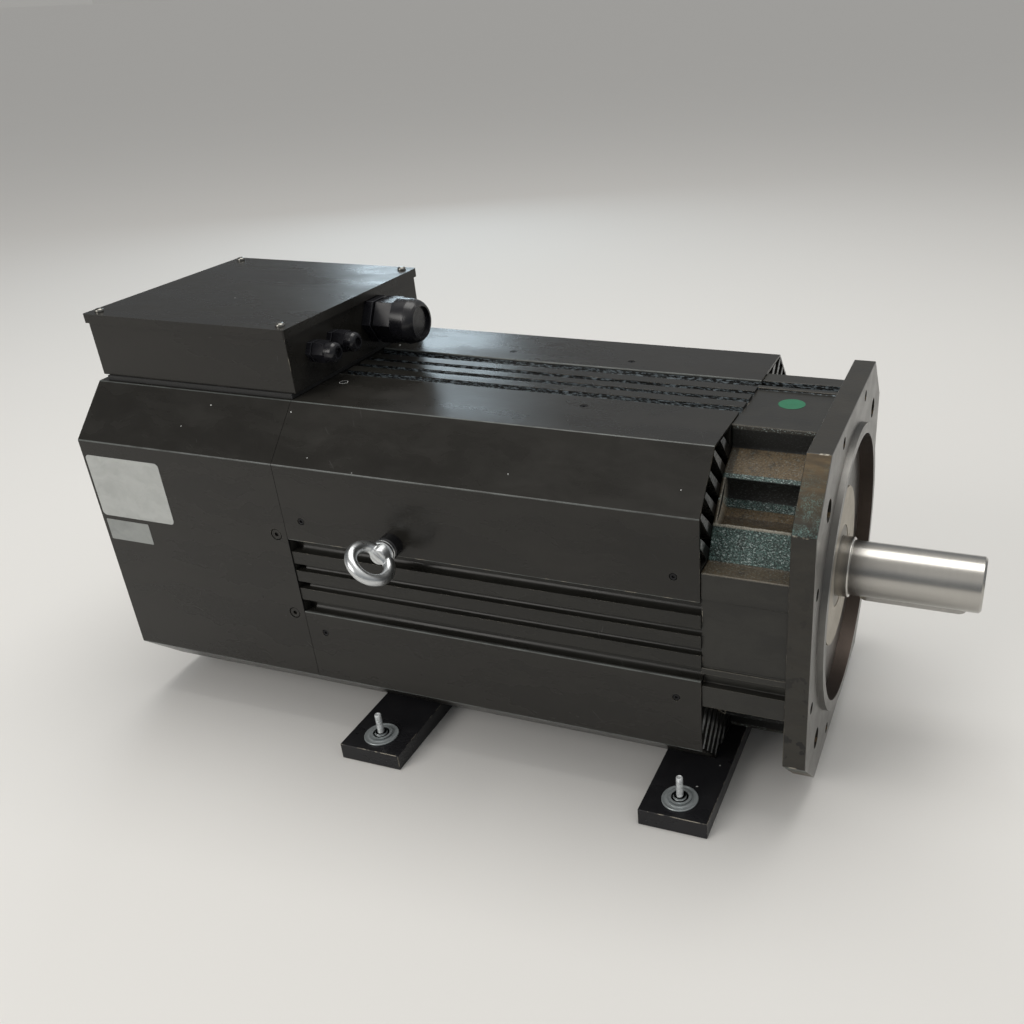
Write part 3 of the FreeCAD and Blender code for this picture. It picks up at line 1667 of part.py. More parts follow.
def build_studs():
    """Studs whose thinner shank sits in the bar and washer, with the thread above them."""
    studs = []
    washers = []
    radius = size["stud_dia"] / 2 - gap
    shank = size["stud_shank"] / 2 - gap
    bevel = size["sheet"] * HALF * HALF
    top = size["foot_thick"] + size["stud_rise"]
    thick = size["washer_thick"]
    collar = size["washer_collar"] / 2
    ledge = thick + size["washer_collar_height"]
    thread = size["foot_thick"] + ledge + clear
    for place_x in foot_places():
        for sign in (1, -1):
            y = size["stud_place"] * sign
            stud = upright("stud", [(0, 0), (shank, 0), (shank, thread),
                                    (radius, thread), (radius, top - bevel),
                                    (radius - bevel, top), (0, top)])
            studs.append(place(stud, -place_x, y, -body_half - size["foot_thick"]))
            washer = upright("washer", [
                (shank + gap * 2, 0), (size["washer_dia"] / 2, 0),
                (size["washer_dia"] / 2, thick), (collar, thick),
                (collar, ledge), (shank + gap * 2, ledge)])
            washers.append(place(washer, -place_x, y, -body_half))
    return compound("foot_studs", studs), compound("foot_washers", washers)


# The whole motor.

node(build_front_bracket())
node(build_cap())
node(build_seal())
for part in build_bearing("front_bearing", bearing_face, size["front_bearing_bore"],
                          size["front_bearing_od"], size["front_bearing_width"],
                          size["front_ball"]):
    node(part)
node(build_shaft())
node(build_key())
node(build_rotor_core())
node(build_rotor_cage())
node(build_stator_core())
node(build_winding())
node(build_frame())
for name, y_sign, z_sign in (("cover_top_near", -1, 1), ("cover_top_far", 1, 1),
                             ("cover_bottom_near", -1, -1),
                             ("cover_bottom_far", 1, -1)):
    node(build_cover(name, y_sign, z_sign))
node(build_cover_screws())
node(build_rear_cover())
node(build_rear_cover_screws())
node(build_rear_shield())
node(build_shield_screws())
for part in build_bearing("rear_bearing", rear_race_front, size["rear_bearing_bore"],
                          size["rear_bearing_od"], size["rear_bearing_width"],
                          size["rear_ball"]):
    node(part)
for part in build_encoder():
    node(part)
node(build_fan_frame())
node(build_fan_motor())
node(build_fan_shaft())
node(build_impeller())
node(build_fan_guard())
node(build_gasket())
node(build_grommet())
node(build_junction_box())
node(build_lid())
node(build_lid_screws())
for part in build_terminals():
    node(part)
(power_y, power_kind), (near_y, signal_kind), (far_y, _) = gland_places()
for name, kind, y in (("power_gland", power_kind, power_y),
                      ("signal_gland_near", signal_kind, near_y),
                      ("signal_gland_far", signal_kind, far_y)):
    node(build_gland_base(name + "_body", kind, y))
    node(build_gland_cap(name + "_cap", kind, y))
    node(build_gland_plug(name + "_plug", kind, y))
node(build_eye())
node(build_spacer())
node(build_foot("foot_bar_front", size["foot_front"]))
node(build_foot("foot_bar_rear", size["foot_rear"]))
node(build_foot_screws())
for part in build_studs():
    node(part)

doc.recompute()

for obj in doc.Objects:
    if "Invalid" in obj.State or "Error" in obj.State:
        raise RuntimeError(f"{obj.Label} did not build: {obj.State}")

os.makedirs("parts", exist_ok=True)
for obj in nodes:
    shape = obj.Shape
    if shape.isNull() or not shape.isValid():
        raise RuntimeError(f"{obj.Label} has no valid shape")
    shape.exportStep(os.path.join("parts", obj.Label + ".step"))
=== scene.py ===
import functools
import json
import math
from collections import Counter

import bmesh
import bpy
from bpy.props import FloatProperty, FloatVectorProperty, PointerProperty
from mathutils import Matrix, Vector, noise as lumps

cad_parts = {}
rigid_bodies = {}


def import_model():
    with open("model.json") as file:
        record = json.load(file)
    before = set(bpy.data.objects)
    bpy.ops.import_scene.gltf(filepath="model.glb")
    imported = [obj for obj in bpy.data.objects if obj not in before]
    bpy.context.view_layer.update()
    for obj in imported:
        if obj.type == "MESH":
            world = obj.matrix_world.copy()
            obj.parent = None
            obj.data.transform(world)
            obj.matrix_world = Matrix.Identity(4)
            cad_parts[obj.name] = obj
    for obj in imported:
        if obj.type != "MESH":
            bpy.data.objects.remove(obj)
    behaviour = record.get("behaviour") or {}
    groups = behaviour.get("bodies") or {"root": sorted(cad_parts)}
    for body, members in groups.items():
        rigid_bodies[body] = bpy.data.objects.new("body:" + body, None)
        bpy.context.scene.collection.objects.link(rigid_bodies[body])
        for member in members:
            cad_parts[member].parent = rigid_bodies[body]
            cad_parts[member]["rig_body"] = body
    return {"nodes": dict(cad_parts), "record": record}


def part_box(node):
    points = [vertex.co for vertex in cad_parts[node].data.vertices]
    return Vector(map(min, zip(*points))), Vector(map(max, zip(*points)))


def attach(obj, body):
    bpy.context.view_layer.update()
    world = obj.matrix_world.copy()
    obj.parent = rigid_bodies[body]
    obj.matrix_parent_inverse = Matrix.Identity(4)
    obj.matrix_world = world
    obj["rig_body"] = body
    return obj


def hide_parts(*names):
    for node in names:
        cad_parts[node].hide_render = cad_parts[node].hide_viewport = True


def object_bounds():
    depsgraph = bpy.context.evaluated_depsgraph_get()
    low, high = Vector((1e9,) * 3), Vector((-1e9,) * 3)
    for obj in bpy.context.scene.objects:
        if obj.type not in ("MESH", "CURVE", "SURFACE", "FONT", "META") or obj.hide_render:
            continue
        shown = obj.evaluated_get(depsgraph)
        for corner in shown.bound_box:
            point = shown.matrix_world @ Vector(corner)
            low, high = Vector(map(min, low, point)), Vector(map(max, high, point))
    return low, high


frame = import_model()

bl_info = {
    "name": "Spindle servo motor",
    "version": (1, 0, 0),
    "blender": (4, 5, 0),
    "location": "3D View > Sidebar > Motor",
    "description": "Finishes the packed spindle servo motor and sets it on its stage",
    "category": "Object",
}

CAD_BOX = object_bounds()
HOUSING = "housing"
SLOTS = {row["node"]: row["material_slot"] for row in frame["record"]["subparts"]}


# Sizes and colours

def length(name, description, default):
    return FloatProperty(name=name, description=description, default=default,
                         min=0.0, unit="LENGTH", precision=5)


def share(name, description, default, top=1.0):
    return FloatProperty(name=name, description=description, default=default,
                         min=0.0, max=top)


def angle(name, description, default):
    return FloatProperty(name=name, description=description, default=default,
                         subtype="ANGLE")


def colour(name, description, default):
    return FloatVectorProperty(name=name, description=description, default=default,
                               size=3, min=0.0, max=1.0, subtype="COLOR")


class MotorPaint(bpy.types.PropertyGroup):
    sheet: colour("Sheet paint", "Satin powder coat on covers and junction box",
                  (0.0165, 0.0155, 0.0135))
    cast: colour("Casting paint", "Brushed black on the front casting",
                 (0.0190, 0.0185, 0.0160))
    frame: colour("Frame paint", "Black on the extruded stator frame",
                  (0.0150, 0.0145, 0.0125))
    bare: colour("Bare edge", "Metal where the paint has worn off an edge",
                 (0.36, 0.33, 0.27))
    # painted highlight along the folds of the covers; the same name marks the worn pad
    # edges of the casting
    sheen_and_rub: colour("Fold highlight", "Painted highlight along the folds",
                   (0.125, 0.135, 0.130))
    seam: colour("Seam", "Shadow in the joint between two covers",
                 (0.0015, 0.0015, 0.0015))
    # painted green-grey reflection of a bluish light on rough black paint
    teal_reflection: colour("Teal reflection", "Painted green-grey reflection in the corner pockets",
                      (0.070, 0.115, 0.105))
    # painted brown reflection of warm light on rough black paint
    warm_reflection: colour("Warm reflection", "Painted brown reflection in the corner pockets",
                 (0.135, 0.092, 0.046))
    roughness: share("Roughness", "Roughness of the satin paint", 0.28)
    wear: share("Edge wear", "How much paint is off the edges", 0.5)


class MotorMetal(bpy.types.PropertyGroup):
    steel: colour("Ground steel", "Shaft", (0.50, 0.485, 0.455))
    face: colour("Machined face", "Turned front face of the flange", (0.24, 0.235, 0.225))
    cap: colour("Cap", "Bearing cap in the flange recess", (0.45, 0.41, 0.345))
    zinc: colour("Zinc", "Eye bolt", (0.66, 0.68, 0.69))
    screw: colour("Black oxide", "Socket screws", (0.030, 0.030, 0.032))
    thread_pitch: length("Stud pitch", "Pitch of the foot studs' thread", 0.001)


class MotorPlates(bpy.types.PropertyGroup):
    thick: length("Thickness", "Thickness of the plates", 0.0004)
    silver: colour("Plate", "Bare silver-white plate", (0.46, 0.475, 0.46))
    grey: colour("Label", "Bare label below the plate", (0.30, 0.315, 0.305))
    green: colour("Sticker", "Bare round sticker", (0.012, 0.16, 0.075))
    sticker: length("Sticker radius", "Radius of the round sticker", 0.011)


class MotorEdges(bpy.types.PropertyGroup):
    sheet: length("Sheet", "Round on the edges of the sheet covers", 0.0004)
    cast: length("Casting", "Round on the edges of the front casting", 0.0009)
    frame: length("Frame", "Round on the edges of the stator frame", 0.00035)
    turned: length("Turned", "Round on the edges of shaft and key", 0.0003)
    bar: length("Bar", "Round on the edges of the foot bars", 0.0007)
    moulded: length("Moulded", "Round on the edges of the cable glands", 0.0004)


class MotorStage(bpy.types.PropertyGroup):
    floor: colour("Floor", "Colour of floor and backdrop", (0.80, 0.79, 0.77))
    reach: length("Reach", "Half the width of the floor", 90.0)
    sweep: length("Sweep", "Rise of the backdrop round the floor", 3.0)
    sky: share("Sky", "Strength of the world overhead", 0.60, 4.0)
    low: share("Low wall", "Strength of the world's wall, dark side", 0.20, 4.0)
    dim: share("Dim sky", "Share of the sky's strength towards the motor's rear", 0.3)
    wall: share("High wall", "Strength of the world's wall, bright side", 0.29, 4.0)
    key: share("Key", "Power of the overhead softbox in watts", 34.0, 500.0)
    fill: share("Fill", "Power of the side softbox in watts", 26.0, 500.0)
    rim: share("Rim", "Power of the rear softbox in watts", 3.2, 500.0)
    eye: FloatVectorProperty(name="Camera", description="Where the camera stands",
                             default=(0.10681, -0.77666, 0.45070), size=3,
                             subtype="TRANSLATION", unit="LENGTH")
    turn: angle("Turn", "Turn of the camera about Z", 0.34530)
    tilt: angle("Tilt", "Height of the camera's view", 0.50697)
    roll: angle("Roll", "Roll of the camera", -0.034143)
    lens: FloatProperty(name="Lens", description="Focal length in millimetres",
                        default=36.063)
    shift: FloatVectorProperty(name="Shift", description="Shift of the picture",
                               default=(-0.14215, 0.03481), size=2)


# Node trees

class Graph:
    """Node tree with a short call for each kind of node; place is where textures look."""

    def __init__(self, tree, place=None):
        self.tree = tree
        self.place = place

    def put(self, socket, value):
        """Link a socket, or set it; a colour of three values gets its alpha."""
        if isinstance(value, bpy.types.NodeSocket):
            self.tree.links.new(value, socket)
        elif socket.type == "RGBA" and len(value) == 3:
            socket.default_value = (*value, 1.0)
        else:
            socket.default_value = value

    def add(self, kind, values=(), **settings):
        """One node; values go into its sockets by name, or by place where names repeat."""
        node = self.tree.nodes.new(kind)
        for name, value in settings.items():
            setattr(node, name, value)
        for key, value in dict(values).items():
            self.put(node.inputs[key], value)
        return node

    def maths(self, operation, *values, clamp=False):
        return self.add("ShaderNodeMath", dict(enumerate(values)), operation=operation,
                        use_clamp=clamp).outputs[0]

    def mul(self, a, b, clamp=False):
        return self.maths("MULTIPLY", a, b, clamp=clamp)

    def madd(self, a, b, c, clamp=False):
        """a times b, plus c."""
        return self.maths("MULTIPLY_ADD", a, b, c, clamp=clamp)

    def ramp(self, value, low, high, to_low=0.0, to_high=1.0):
        """Smooth change from one level to another between two values."""
        return self.add("ShaderNodeMapRange", {
            "Value": value, "From Min": low, "From Max": high, "To Min": to_low,
            "To Max": to_high}, interpolation_type="SMOOTHSTEP").outputs["Result"]

    def mix(self, factor, a, b):
        return self.add("ShaderNodeMix", {0: factor, 6: a, 7: b},
                        data_type="RGBA").outputs[2]

    def layers(self, tone, *coats):
        """Colour with coats over it, each a (cover, colour)."""
        for cover, coat in coats:
            tone = self.mix(cover, tone, coat)
        return tone

    def stretch(self, vector, scale):
        return self.add("ShaderNodeVectorMath", {0: vector, 1: scale},
                        operation="MULTIPLY").outputs[0]

    def noise(self, scale, detail=3.0, rough=0.55, along=None, at=None):
        """Noise at the graph's place, or elsewhere; along stretches that place."""
        at = at or self.place
        if along:
            at = self.stretch(at, along)
        return self.add("ShaderNodeTexNoise", {
            "Vector": at, "Scale": scale, "Detail": detail, "Roughness": rough,
        }).outputs["Fac"]

    def xyz(self, vector):
        return self.add("ShaderNodeSeparateXYZ", {0: vector}).outputs

    def mask(self, name):
        """Value that a mesh carries at its corners or points, such as its edges."""
        return self.add("ShaderNodeAttribute", attribute_name=name).outputs["Fac"]

    def use(self, effect_group, **values):
        """Place a shared effect; one with several outputs gives them all, by name."""
        outputs = self.add("ShaderNodeGroup", {"Vector": self.place, **values},
                           node_tree=effect_group()).outputs
        return outputs if len(outputs) > 1 else outputs[0]


def effect(label, *outputs, **inputs):
    """Make a function the builder of a shared group that is made when first used."""
    def wrap(build):
        @functools.cache
        def group():
            tree = bpy.data.node_groups.new(label, "ShaderNodeTree")
            tree.interface.new_socket(name="Vector", in_out="INPUT",
                                      socket_type="NodeSocketVector")
            for name, value in inputs.items():
                tree.interface.new_socket(
                    name=name, in_out="INPUT",
                    socket_type="NodeSocketFloat").default_value = value
            for name in outputs:
                tree.interface.new_socket(name=name, in_out="OUTPUT",
                                          socket_type="NodeSocketFloat")
            start = tree.nodes.new("NodeGroupInput").outputs
            graph = Graph(tree, start["Vector"])
            results = build(graph, *(start[name] for name in inputs))
            graph.add("NodeGroupOutput", dict(zip(outputs, results)))
            return tree
        return group
    return wrap


@effect("Orange peel", "Height", Size=0.0016)
def orange_peel(graph, size):
    """Small shallow dimples of a sprayed or powder coat."""
    scale = graph.maths("DIVIDE", 1.0, size)
    fine = graph.noise(scale, 1.5, 0.4)
    broad = graph.noise(graph.mul(scale, 0.42), 1.0, 0.4)
    return [graph.madd(broad, 0.8, fine)]


@effect("Edge wear", "Mask", Edge=0.0, Amount=0.5, Patch=0.012)
def edge_wear(graph, edge, amount, patch):
    """Patchy wear along the rounded edges of a piece."""
    long = graph.noise(graph.maths("DIVIDE", 1.0, patch), 4.0, 0.62)
    limit = graph.maths("SUBTRACT", 0.86, graph.mul(amount, 0.62))
    gone = graph.ramp(graph.maths("SUBTRACT", long, limit), -0.05, 0.07)
    return [graph.mul(gone, edge)]


@effect("Smudges", "Value", Size=0.05)
def smudges(graph, size):
    """Broad handling marks that change the gloss of a surface."""
    scale = graph.maths("DIVIDE", 1.0, size)
    warp = graph.add("ShaderNodeTexNoise", {"Vector": graph.place, "Scale": scale,
                                            "Detail": 3.0})
    shift = graph.stretch(warp.outputs["Color"], (0.035, 0.035, 0.035))
    moved = graph.add("ShaderNodeVectorMath", {0: graph.place, 1: shift},
                      operation="ADD")
    streak = graph.noise(scale, 4.0, 0.6, (0.35, 1.0, 1.6), at=moved.outputs[0])
    return [graph.ramp(streak, 0.34, 0.68)]


@effect("Dust", "Mask", Amount=0.2)
def dust(graph, amount):
    """Fine dust that lies on what faces up."""
    normal = graph.add("ShaderNodeNewGeometry").outputs["Normal"]
    lying = graph.ramp(graph.xyz(normal)["Z"], 0.25, 0.95)
    cloud = graph.ramp(graph.noise(34.0, 6.0, 0.66), 0.42, 0.78)
    grains = graph.ramp(graph.noise(1500.0, 1.0, 0.5), 0.56, 0.72)
    both = graph.madd(grains, 0.55, cloud)
    return [graph.mul(graph.mul(both, lying), amount, clamp=True)]


@effect("Specks", "Mask", Spacing=0.03, Size=0.04, Share=0.3)
def specks(graph, spacing, size, part):
    """Scattered small round spots, such as paint flecks or chips."""
    cells = graph.add("ShaderNodeTexVoronoi", {
        "Vector": graph.place, "Scale": graph.maths("DIVIDE", 1.0, spacing)}).outputs
    close = graph.ramp(cells["Distance"], size, graph.mul(size, 0.6))
    chosen = graph.add("ShaderNodeSeparateColor", {0: cells["Color"]}).outputs[0]
    return [graph.mul(close, graph.maths("LESS_THAN", chosen, part))]


@effect("Scratches", "Mask", Amount=0.3)
def scratches(graph, amount):
    """Thin straight scratches in two directions."""
    marks = []
    for turn, along in (((0.5, 0.25, 0.9), (2.0, 320.0, 26.0)),
                        ((-0.3, 0.6, -0.5), (300.0, 3.0, 24.0))):
        turned = graph.add("ShaderNodeVectorRotate", {
            "Vector": graph.place, "Rotation": turn}, rotation_type="EULER_XYZ")
        lines = graph.noise(1.6, 2.0, 0.5, along, at=turned.outputs[0])
        marks.append(graph.ramp(lines, 0.735, 0.775))
    patches = graph.ramp(graph.noise(16.0, 2.0), 0.45, 0.62)
    return [graph.mul(graph.mul(graph.maths("MAXIMUM", *marks), patches), amount)]


@effect("Turning marks", "Height", "Bands", Pitch=0.0003)
def turning(graph, pitch):
    """Fine rings round the X axis, as a lathe or a grinding wheel leaves them."""
    at = graph.xyz(graph.place)
    radius = graph.maths("SQRT", graph.maths("ADD", graph.mul(at["Y"], at["Y"]),
                                             graph.mul(at["Z"], at["Z"])))
    scale = graph.maths("DIVIDE", 1.0, pitch)
    place = graph.add("ShaderNodeCombineXYZ", {
        "X": graph.mul(at["X"], scale), "Y": graph.mul(radius, scale),
        "Z": graph.mul(graph.maths("ARCTAN2", at["Z"], at["Y"]), 0.8)}).outputs[0]
    return [graph.noise(1.0, 2.0, 0.6, at=place),
            graph.noise(1.0, 3.0, 0.6, (0.06, 0.06, 0.5), at=place)]


@effect("Cast skin", "Height", "Pits", Grain=0.0018)
def cast_skin(graph, grain):
    """Sand-cast skin: coarse grain with small pits."""
    scale = graph.maths("DIVIDE", 1.0, grain)
    cells = graph.add("ShaderNodeTexVoronoi", {"Vector": graph.place, "Scale": scale},
                      feature="SMOOTH_F1")
    height = graph.madd(cells.outputs["Distance"], -0.7, graph.noise(scale, 3.0, 0.62))
    return [height, graph.ramp(height, 0.22, 0.05)]


@effect("Fine grain", "Height", "Value", Size=0.0006)
def fine_grain(graph, size):
    """Fine even grain of moulded plastic, rubber or plating."""
    scale = graph.maths("DIVIDE", 1.0, size)
    slow = graph.noise(graph.mul(scale, 0.03), 4.0, 0.6)
    return [graph.noise(scale, 2.0, 0.6), graph.ramp(slow, 0.3, 0.7)]


# Finishes

class Finish(Graph):
    """Material with its Principled shader; plain values sit on the shader itself."""

    def __init__(self, name, **plain):
        self.material = bpy.data.materials.new(name)
        self.material.use_nodes = True
        super().__init__(self.material.node_tree)
        self.tree.nodes.clear()
        self.shader = self.tree.nodes.new("ShaderNodeBsdfPrincipled")
        self.feed(**plain)
        self.add("ShaderNodeOutputMaterial", {"Surface": self.shader.outputs["BSDF"]})
        self.place = self.add("ShaderNodeTexCoord").outputs["Object"]

    def feed(self, **values):
        for label, value in values.items():
            self.put(self.shader.inputs[label.replace("_", " ")], value)

    def done(self, height, depth, **values):
        """The material, with its bump and its last values in place."""
        bump = self.add("ShaderNodeBump", {"Height": height, "Distance": depth})
        self.feed(Normal=bump.outputs["Normal"], **values)
        return self.material


def shade(tone, factor):
    return tuple(min(1.0, part * factor) for part in tone)


def paint(name, base, coat, roughness, wear, peel=0.0014, depth=0.00004, dusty=0.03):
    """Satin black paint with orange peel, smudges, dust, scratches and worn edges, a
    painted highlight along the folds and painted shadow in the seam.
    """
    graph = Finish(name, Specular_IOR_Level=0.3)
    smudge, seam = graph.use(smudges), graph.mask("seam")
    dirt = graph.use(dust, Amount=dusty)
    worn = graph.use(edge_wear, Edge=graph.mask("edge"), Amount=wear)
    lines = graph.use(scratches, Amount=0.5)
    fleck = graph.use(specks, Spacing=0.055, Size=0.016, Share=0.16)
    # patchy painted highlight along the folds of the covers
    patchy = graph.ramp(graph.noise(34.0, 4.0, 0.6), 0.2, 0.62, 0.25, 1.0)
    # the seam coat is painted shadow in the joint between two covers
    tone = graph.layers(
        base, (smudge, shade(base, 1.35)), (dirt, (0.17, 0.165, 0.15)),
        (graph.mul(lines, 0.35), (0.12, 0.12, 0.12)), (fleck, (0.42, 0.43, 0.42)),
        (graph.mul(graph.mask("fold"), patchy), coat.sheen_and_rub), (worn, coat.bare),
        (seam, coat.seam))
    rough = graph.madd(smudge, 0.13, roughness - 0.05)
    rough = graph.madd(dirt, 0.4, graph.madd(seam, 0.6, rough))
    rough = graph.madd(lines, 0.15, rough, clamp=True)
    return graph.done(graph.use(orange_peel, Size=peel), depth, Base_Color=tone,
                      Roughness=rough, Metallic=graph.mul(worn, 0.7))


def cast_paint(name, coat):
    """Thick brushed paint over cast iron, with blotches and worn pad edges, and painted
    brown and green-grey reflections on the rim.
    """
    graph = Finish(name, Specular_IOR_Level=0.35)
    smudge = graph.use(smudges, Size=0.03)
    worn = graph.use(edge_wear, Edge=graph.mask("edge"), Amount=coat.wear, Patch=0.008)
    brushed = graph.noise(1.0, 3.0, 0.6, (40.0, 150.0, 260.0))
    # painted brown reflection, streaked along the brushing
    brown_sheen = graph.mul(graph.mask("brown_sheen"), graph.ramp(brushed, 0.3, 0.7, 0.45, 1.0))
    patch = graph.ramp(graph.noise(95.0, 5.0, 0.75), 0.40, 0.62)
    flecks = graph.ramp(graph.noise(1100.0, 3.0, 0.75), 0.44, 0.60)
    # painted green-grey reflection in flecked patches towards the foot of the rim's
    # corners
    green = graph.mul(graph.mul(graph.mask("green"), patch), flecks)
    blotch = graph.ramp(graph.noise(85.0, 3.0, 0.55), 0.57, 0.62)
    chipped = graph.ramp(graph.noise(420.0, 3.0, 0.7), 0.3, 0.55, 0.45, 1.0)
    tone = graph.layers(
        coat.cast, (smudge, shade(coat.cast, 1.5)),
        (graph.use(dust, Amount=0.05), (0.13, 0.125, 0.11)),
        (brown_sheen, shade(coat.warm_reflection, 1.1)), (green, shade(coat.teal_reflection, 1.9)),
        (graph.mul(blotch, graph.mask("blotch")), (0.006, 0.006, 0.006)),
        (worn, coat.bare),
        (graph.mul(chipped, graph.mask("sheen_and_rub")), shade(coat.bare, 0.85)))
    return graph.done(graph.use(cast_skin, Grain=0.0035)["Height"], 0.00009,
                      Base_Color=tone, Roughness=graph.madd(smudge, 0.16, 0.30))


def sand_cast(name, coat):
    """Raw sand-cast black relief, with painted tan and green-grey reflections in bands."""
    graph = Finish(name, Specular_IOR_Level=0.3)
    skin = graph.use(cast_skin, Grain=0.0013)
    cloud, speck = graph.noise(120.0, 5.0, 0.72), graph.noise(900.0, 2.0, 0.65)
    glint = graph.ramp(graph.noise(950.0, 2.0, 0.6, (0.6, 1.0, 1.0)), 0.57, 0.64)
    black = (0.010, 0.010, 0.009)
    brown = graph.mix(cloud, shade(coat.warm_reflection, 0.55), shade(coat.warm_reflection, 1.25))
    green = graph.mix(graph.ramp(speck, 0.42, 0.62), shade(coat.teal_reflection, 0.35),
                      shade(coat.teal_reflection, 1.5))
    tone = graph.layers(
        black,
        # painted tan and green-grey reflections, laid on by each band's mask
        (graph.mul(graph.mask("tan"), graph.ramp(cloud, 0.28, 0.46, 0.35, 1.0)), brown),
        (graph.mul(graph.mask("green"), graph.ramp(cloud, 0.30, 0.50, 0.45, 1.0)), green),
        (graph.mul(skin["Pits"], 0.4), black),
        (graph.mul(glint, graph.mask("fleck")), (0.34, 0.41, 0.40)),
        (graph.mul(graph.mask("bare"), graph.ramp(speck, 0.34, 0.5, 0.3, 1.0)),
         shade(coat.bare, 0.75)))
    return graph.done(skin["Height"], 0.00035, Base_Color=tone,
                      Roughness=graph.madd(speck, 0.3, 0.36))


FIN_BAND = (0.216, 0.228)          # |y| + |z| at the roots and at the tips of the fins
GROOVE_BAND = (0.136, 0.1435)      # height where the groove walls turn from dark to light


def raw_fin_ends(name, coat):
    """Sawn fin ends: bright flecked aluminium under a broken black coat."""
    graph = Finish(name, Specular_IOR_Level=0.4)
    saw = graph.noise(1.0, 3.0, 0.65, (300.0, 1100.0, 500.0))
    cloud = graph.noise(240.0, 3.0, 0.6)
    at = graph.xyz(graph.place)
    spread = graph.maths("ADD", graph.maths("ABSOLUTE", at["Y"]),
                         graph.maths("ABSOLUTE", at["Z"]))
    tip = graph.ramp(graph.madd(cloud, 0.008, spread), *FIN_BAND)
    gone = graph.mul(graph.ramp(graph.madd(cloud, 0.6, saw), 0.60, 0.86), tip)
    tone = graph.mix(gone, shade(coat.frame, 0.35), (0.42, 0.43, 0.43))
    return graph.done(saw, 0.0002, Base_Color=tone, Metallic=graph.mul(gone, 0.4),
                      Roughness=graph.madd(saw, 0.2, 0.35))


def flecked_grooves(name, coat):
    """Rough saw-cut walls of the top grooves: blue-white flecks on black."""
    graph = Finish(name, Specular_IOR_Level=0.4)
    dashes = graph.noise(1.0, 4.0, 0.72, (230.0, 900.0, 700.0))
    upper = graph.ramp(graph.xyz(graph.place)["Z"], *GROOVE_BAND)
    flecks = graph.mul(graph.ramp(dashes, 0.47, 0.60), upper)
    tone = graph.mix(flecks, shade(coat.frame, 0.3), (0.21, 0.25, 0.275))
    return graph.done(dashes, 0.0004, Base_Color=tone,
                      Roughness=graph.madd(dashes, 0.3, 0.25))


def machined(name, tone, roughness, pitch=0.00035, depth=0.000012, spotted=0.0,
             mottle=1.0):
    """Turned or ground metal with rings round the X axis."""
    graph = Finish(name, Metallic=1.0)
    rings = graph.use(turning, Pitch=pitch)
    smudge = graph.use(smudges, Size=0.03)
    bands = graph.madd(rings["Bands"], mottle, 0.5 - 0.5 * mottle)
    coats = [(bands, shade(tone, 1.12)),
             (graph.mul(smudge, 0.25 * mottle), shade(tone, 0.72))]
    if spotted:
        stain = graph.use(specks, Spacing=0.006, Size=0.1, Share=spotted)
        coats.append((graph.mul(stain, 0.6), (0.16, 0.14, 0.12)))
    # rounded edges painted lighter: a painted highlight
    coats.append((graph.mask("edge"), shade(tone, 1.15)))
    rough = graph.madd(rings["Height"], 0.12 * mottle, roughness - 0.06 * mottle)
    return graph.done(rings["Height"], depth,
                      Base_Color=graph.layers(shade(tone, 0.82), *coats),
                      Roughness=graph.madd(smudge, 0.08 * mottle, rough))


def plated(name, tone, roughness, grain=0.0009, depth=0.00003, metallic=1.0):
    """Zinc plating with a slight mottle."""
    graph = Finish(name, Metallic=metallic)
    cloud = graph.noise(260.0, 4.0, 0.65)
    return graph.done(graph.use(fine_grain, Size=grain)["Height"], depth,
                      Base_Color=graph.mix(cloud, shade(tone, 0.78), shade(tone, 1.15)),
                      Roughness=graph.madd(cloud, 0.2, roughness - 0.1))


def moulded(name, tone, roughness, grain=0.0007, depth=0.00002):
    """Black nylon or rubber with a fine moulded grain."""
    graph = Finish(name, Specular_IOR_Level=0.5)
    fine = graph.use(fine_grain, Size=grain)
    base = graph.layers(
        tone, (fine["Value"], shade(tone, 1.5)),
        (graph.use(dust, Amount=0.02), (0.16, 0.155, 0.145)),
        (graph.mul(graph.mask("edge"), 0.4), (0.11, 0.115, 0.13)))
    return graph.done(fine["Height"], depth, Base_Color=base,
                      Roughness=graph.madd(fine["Value"], 0.14, roughness - 0.06))


def laminated(name, tone, pitch=0.0005):
    """Edge of stacked electrical sheets."""
    graph = Finish(name, Metallic=0.8)
    layer = graph.use(turning, Pitch=pitch)["Height"]
    return graph.done(layer, 0.00005,
                      Base_Color=graph.mix(layer, shade(tone, 0.6), shade(tone, 1.3)),
                      Roughness=graph.madd(layer, 0.2, 0.4))


def label_film(name, tone, roughness):
    """Bare plate or sticker with slight creases, handling marks and dull patches."""
    graph = Finish(name, Specular_IOR_Level=0.5)
    smudge = graph.use(smudges, Size=0.02)
    fine = graph.use(fine_grain, Size=0.0005)
    base = graph.layers(tone, (smudge, shade(tone, 0.86)),
                        (graph.mul(fine["Value"], 0.3), shade(tone, 1.12)))
    return graph.done(fine["Height"], 0.00001, Base_Color=base,
                      Roughness=graph.madd(smudge, 0.18, roughness))


finishes = {}


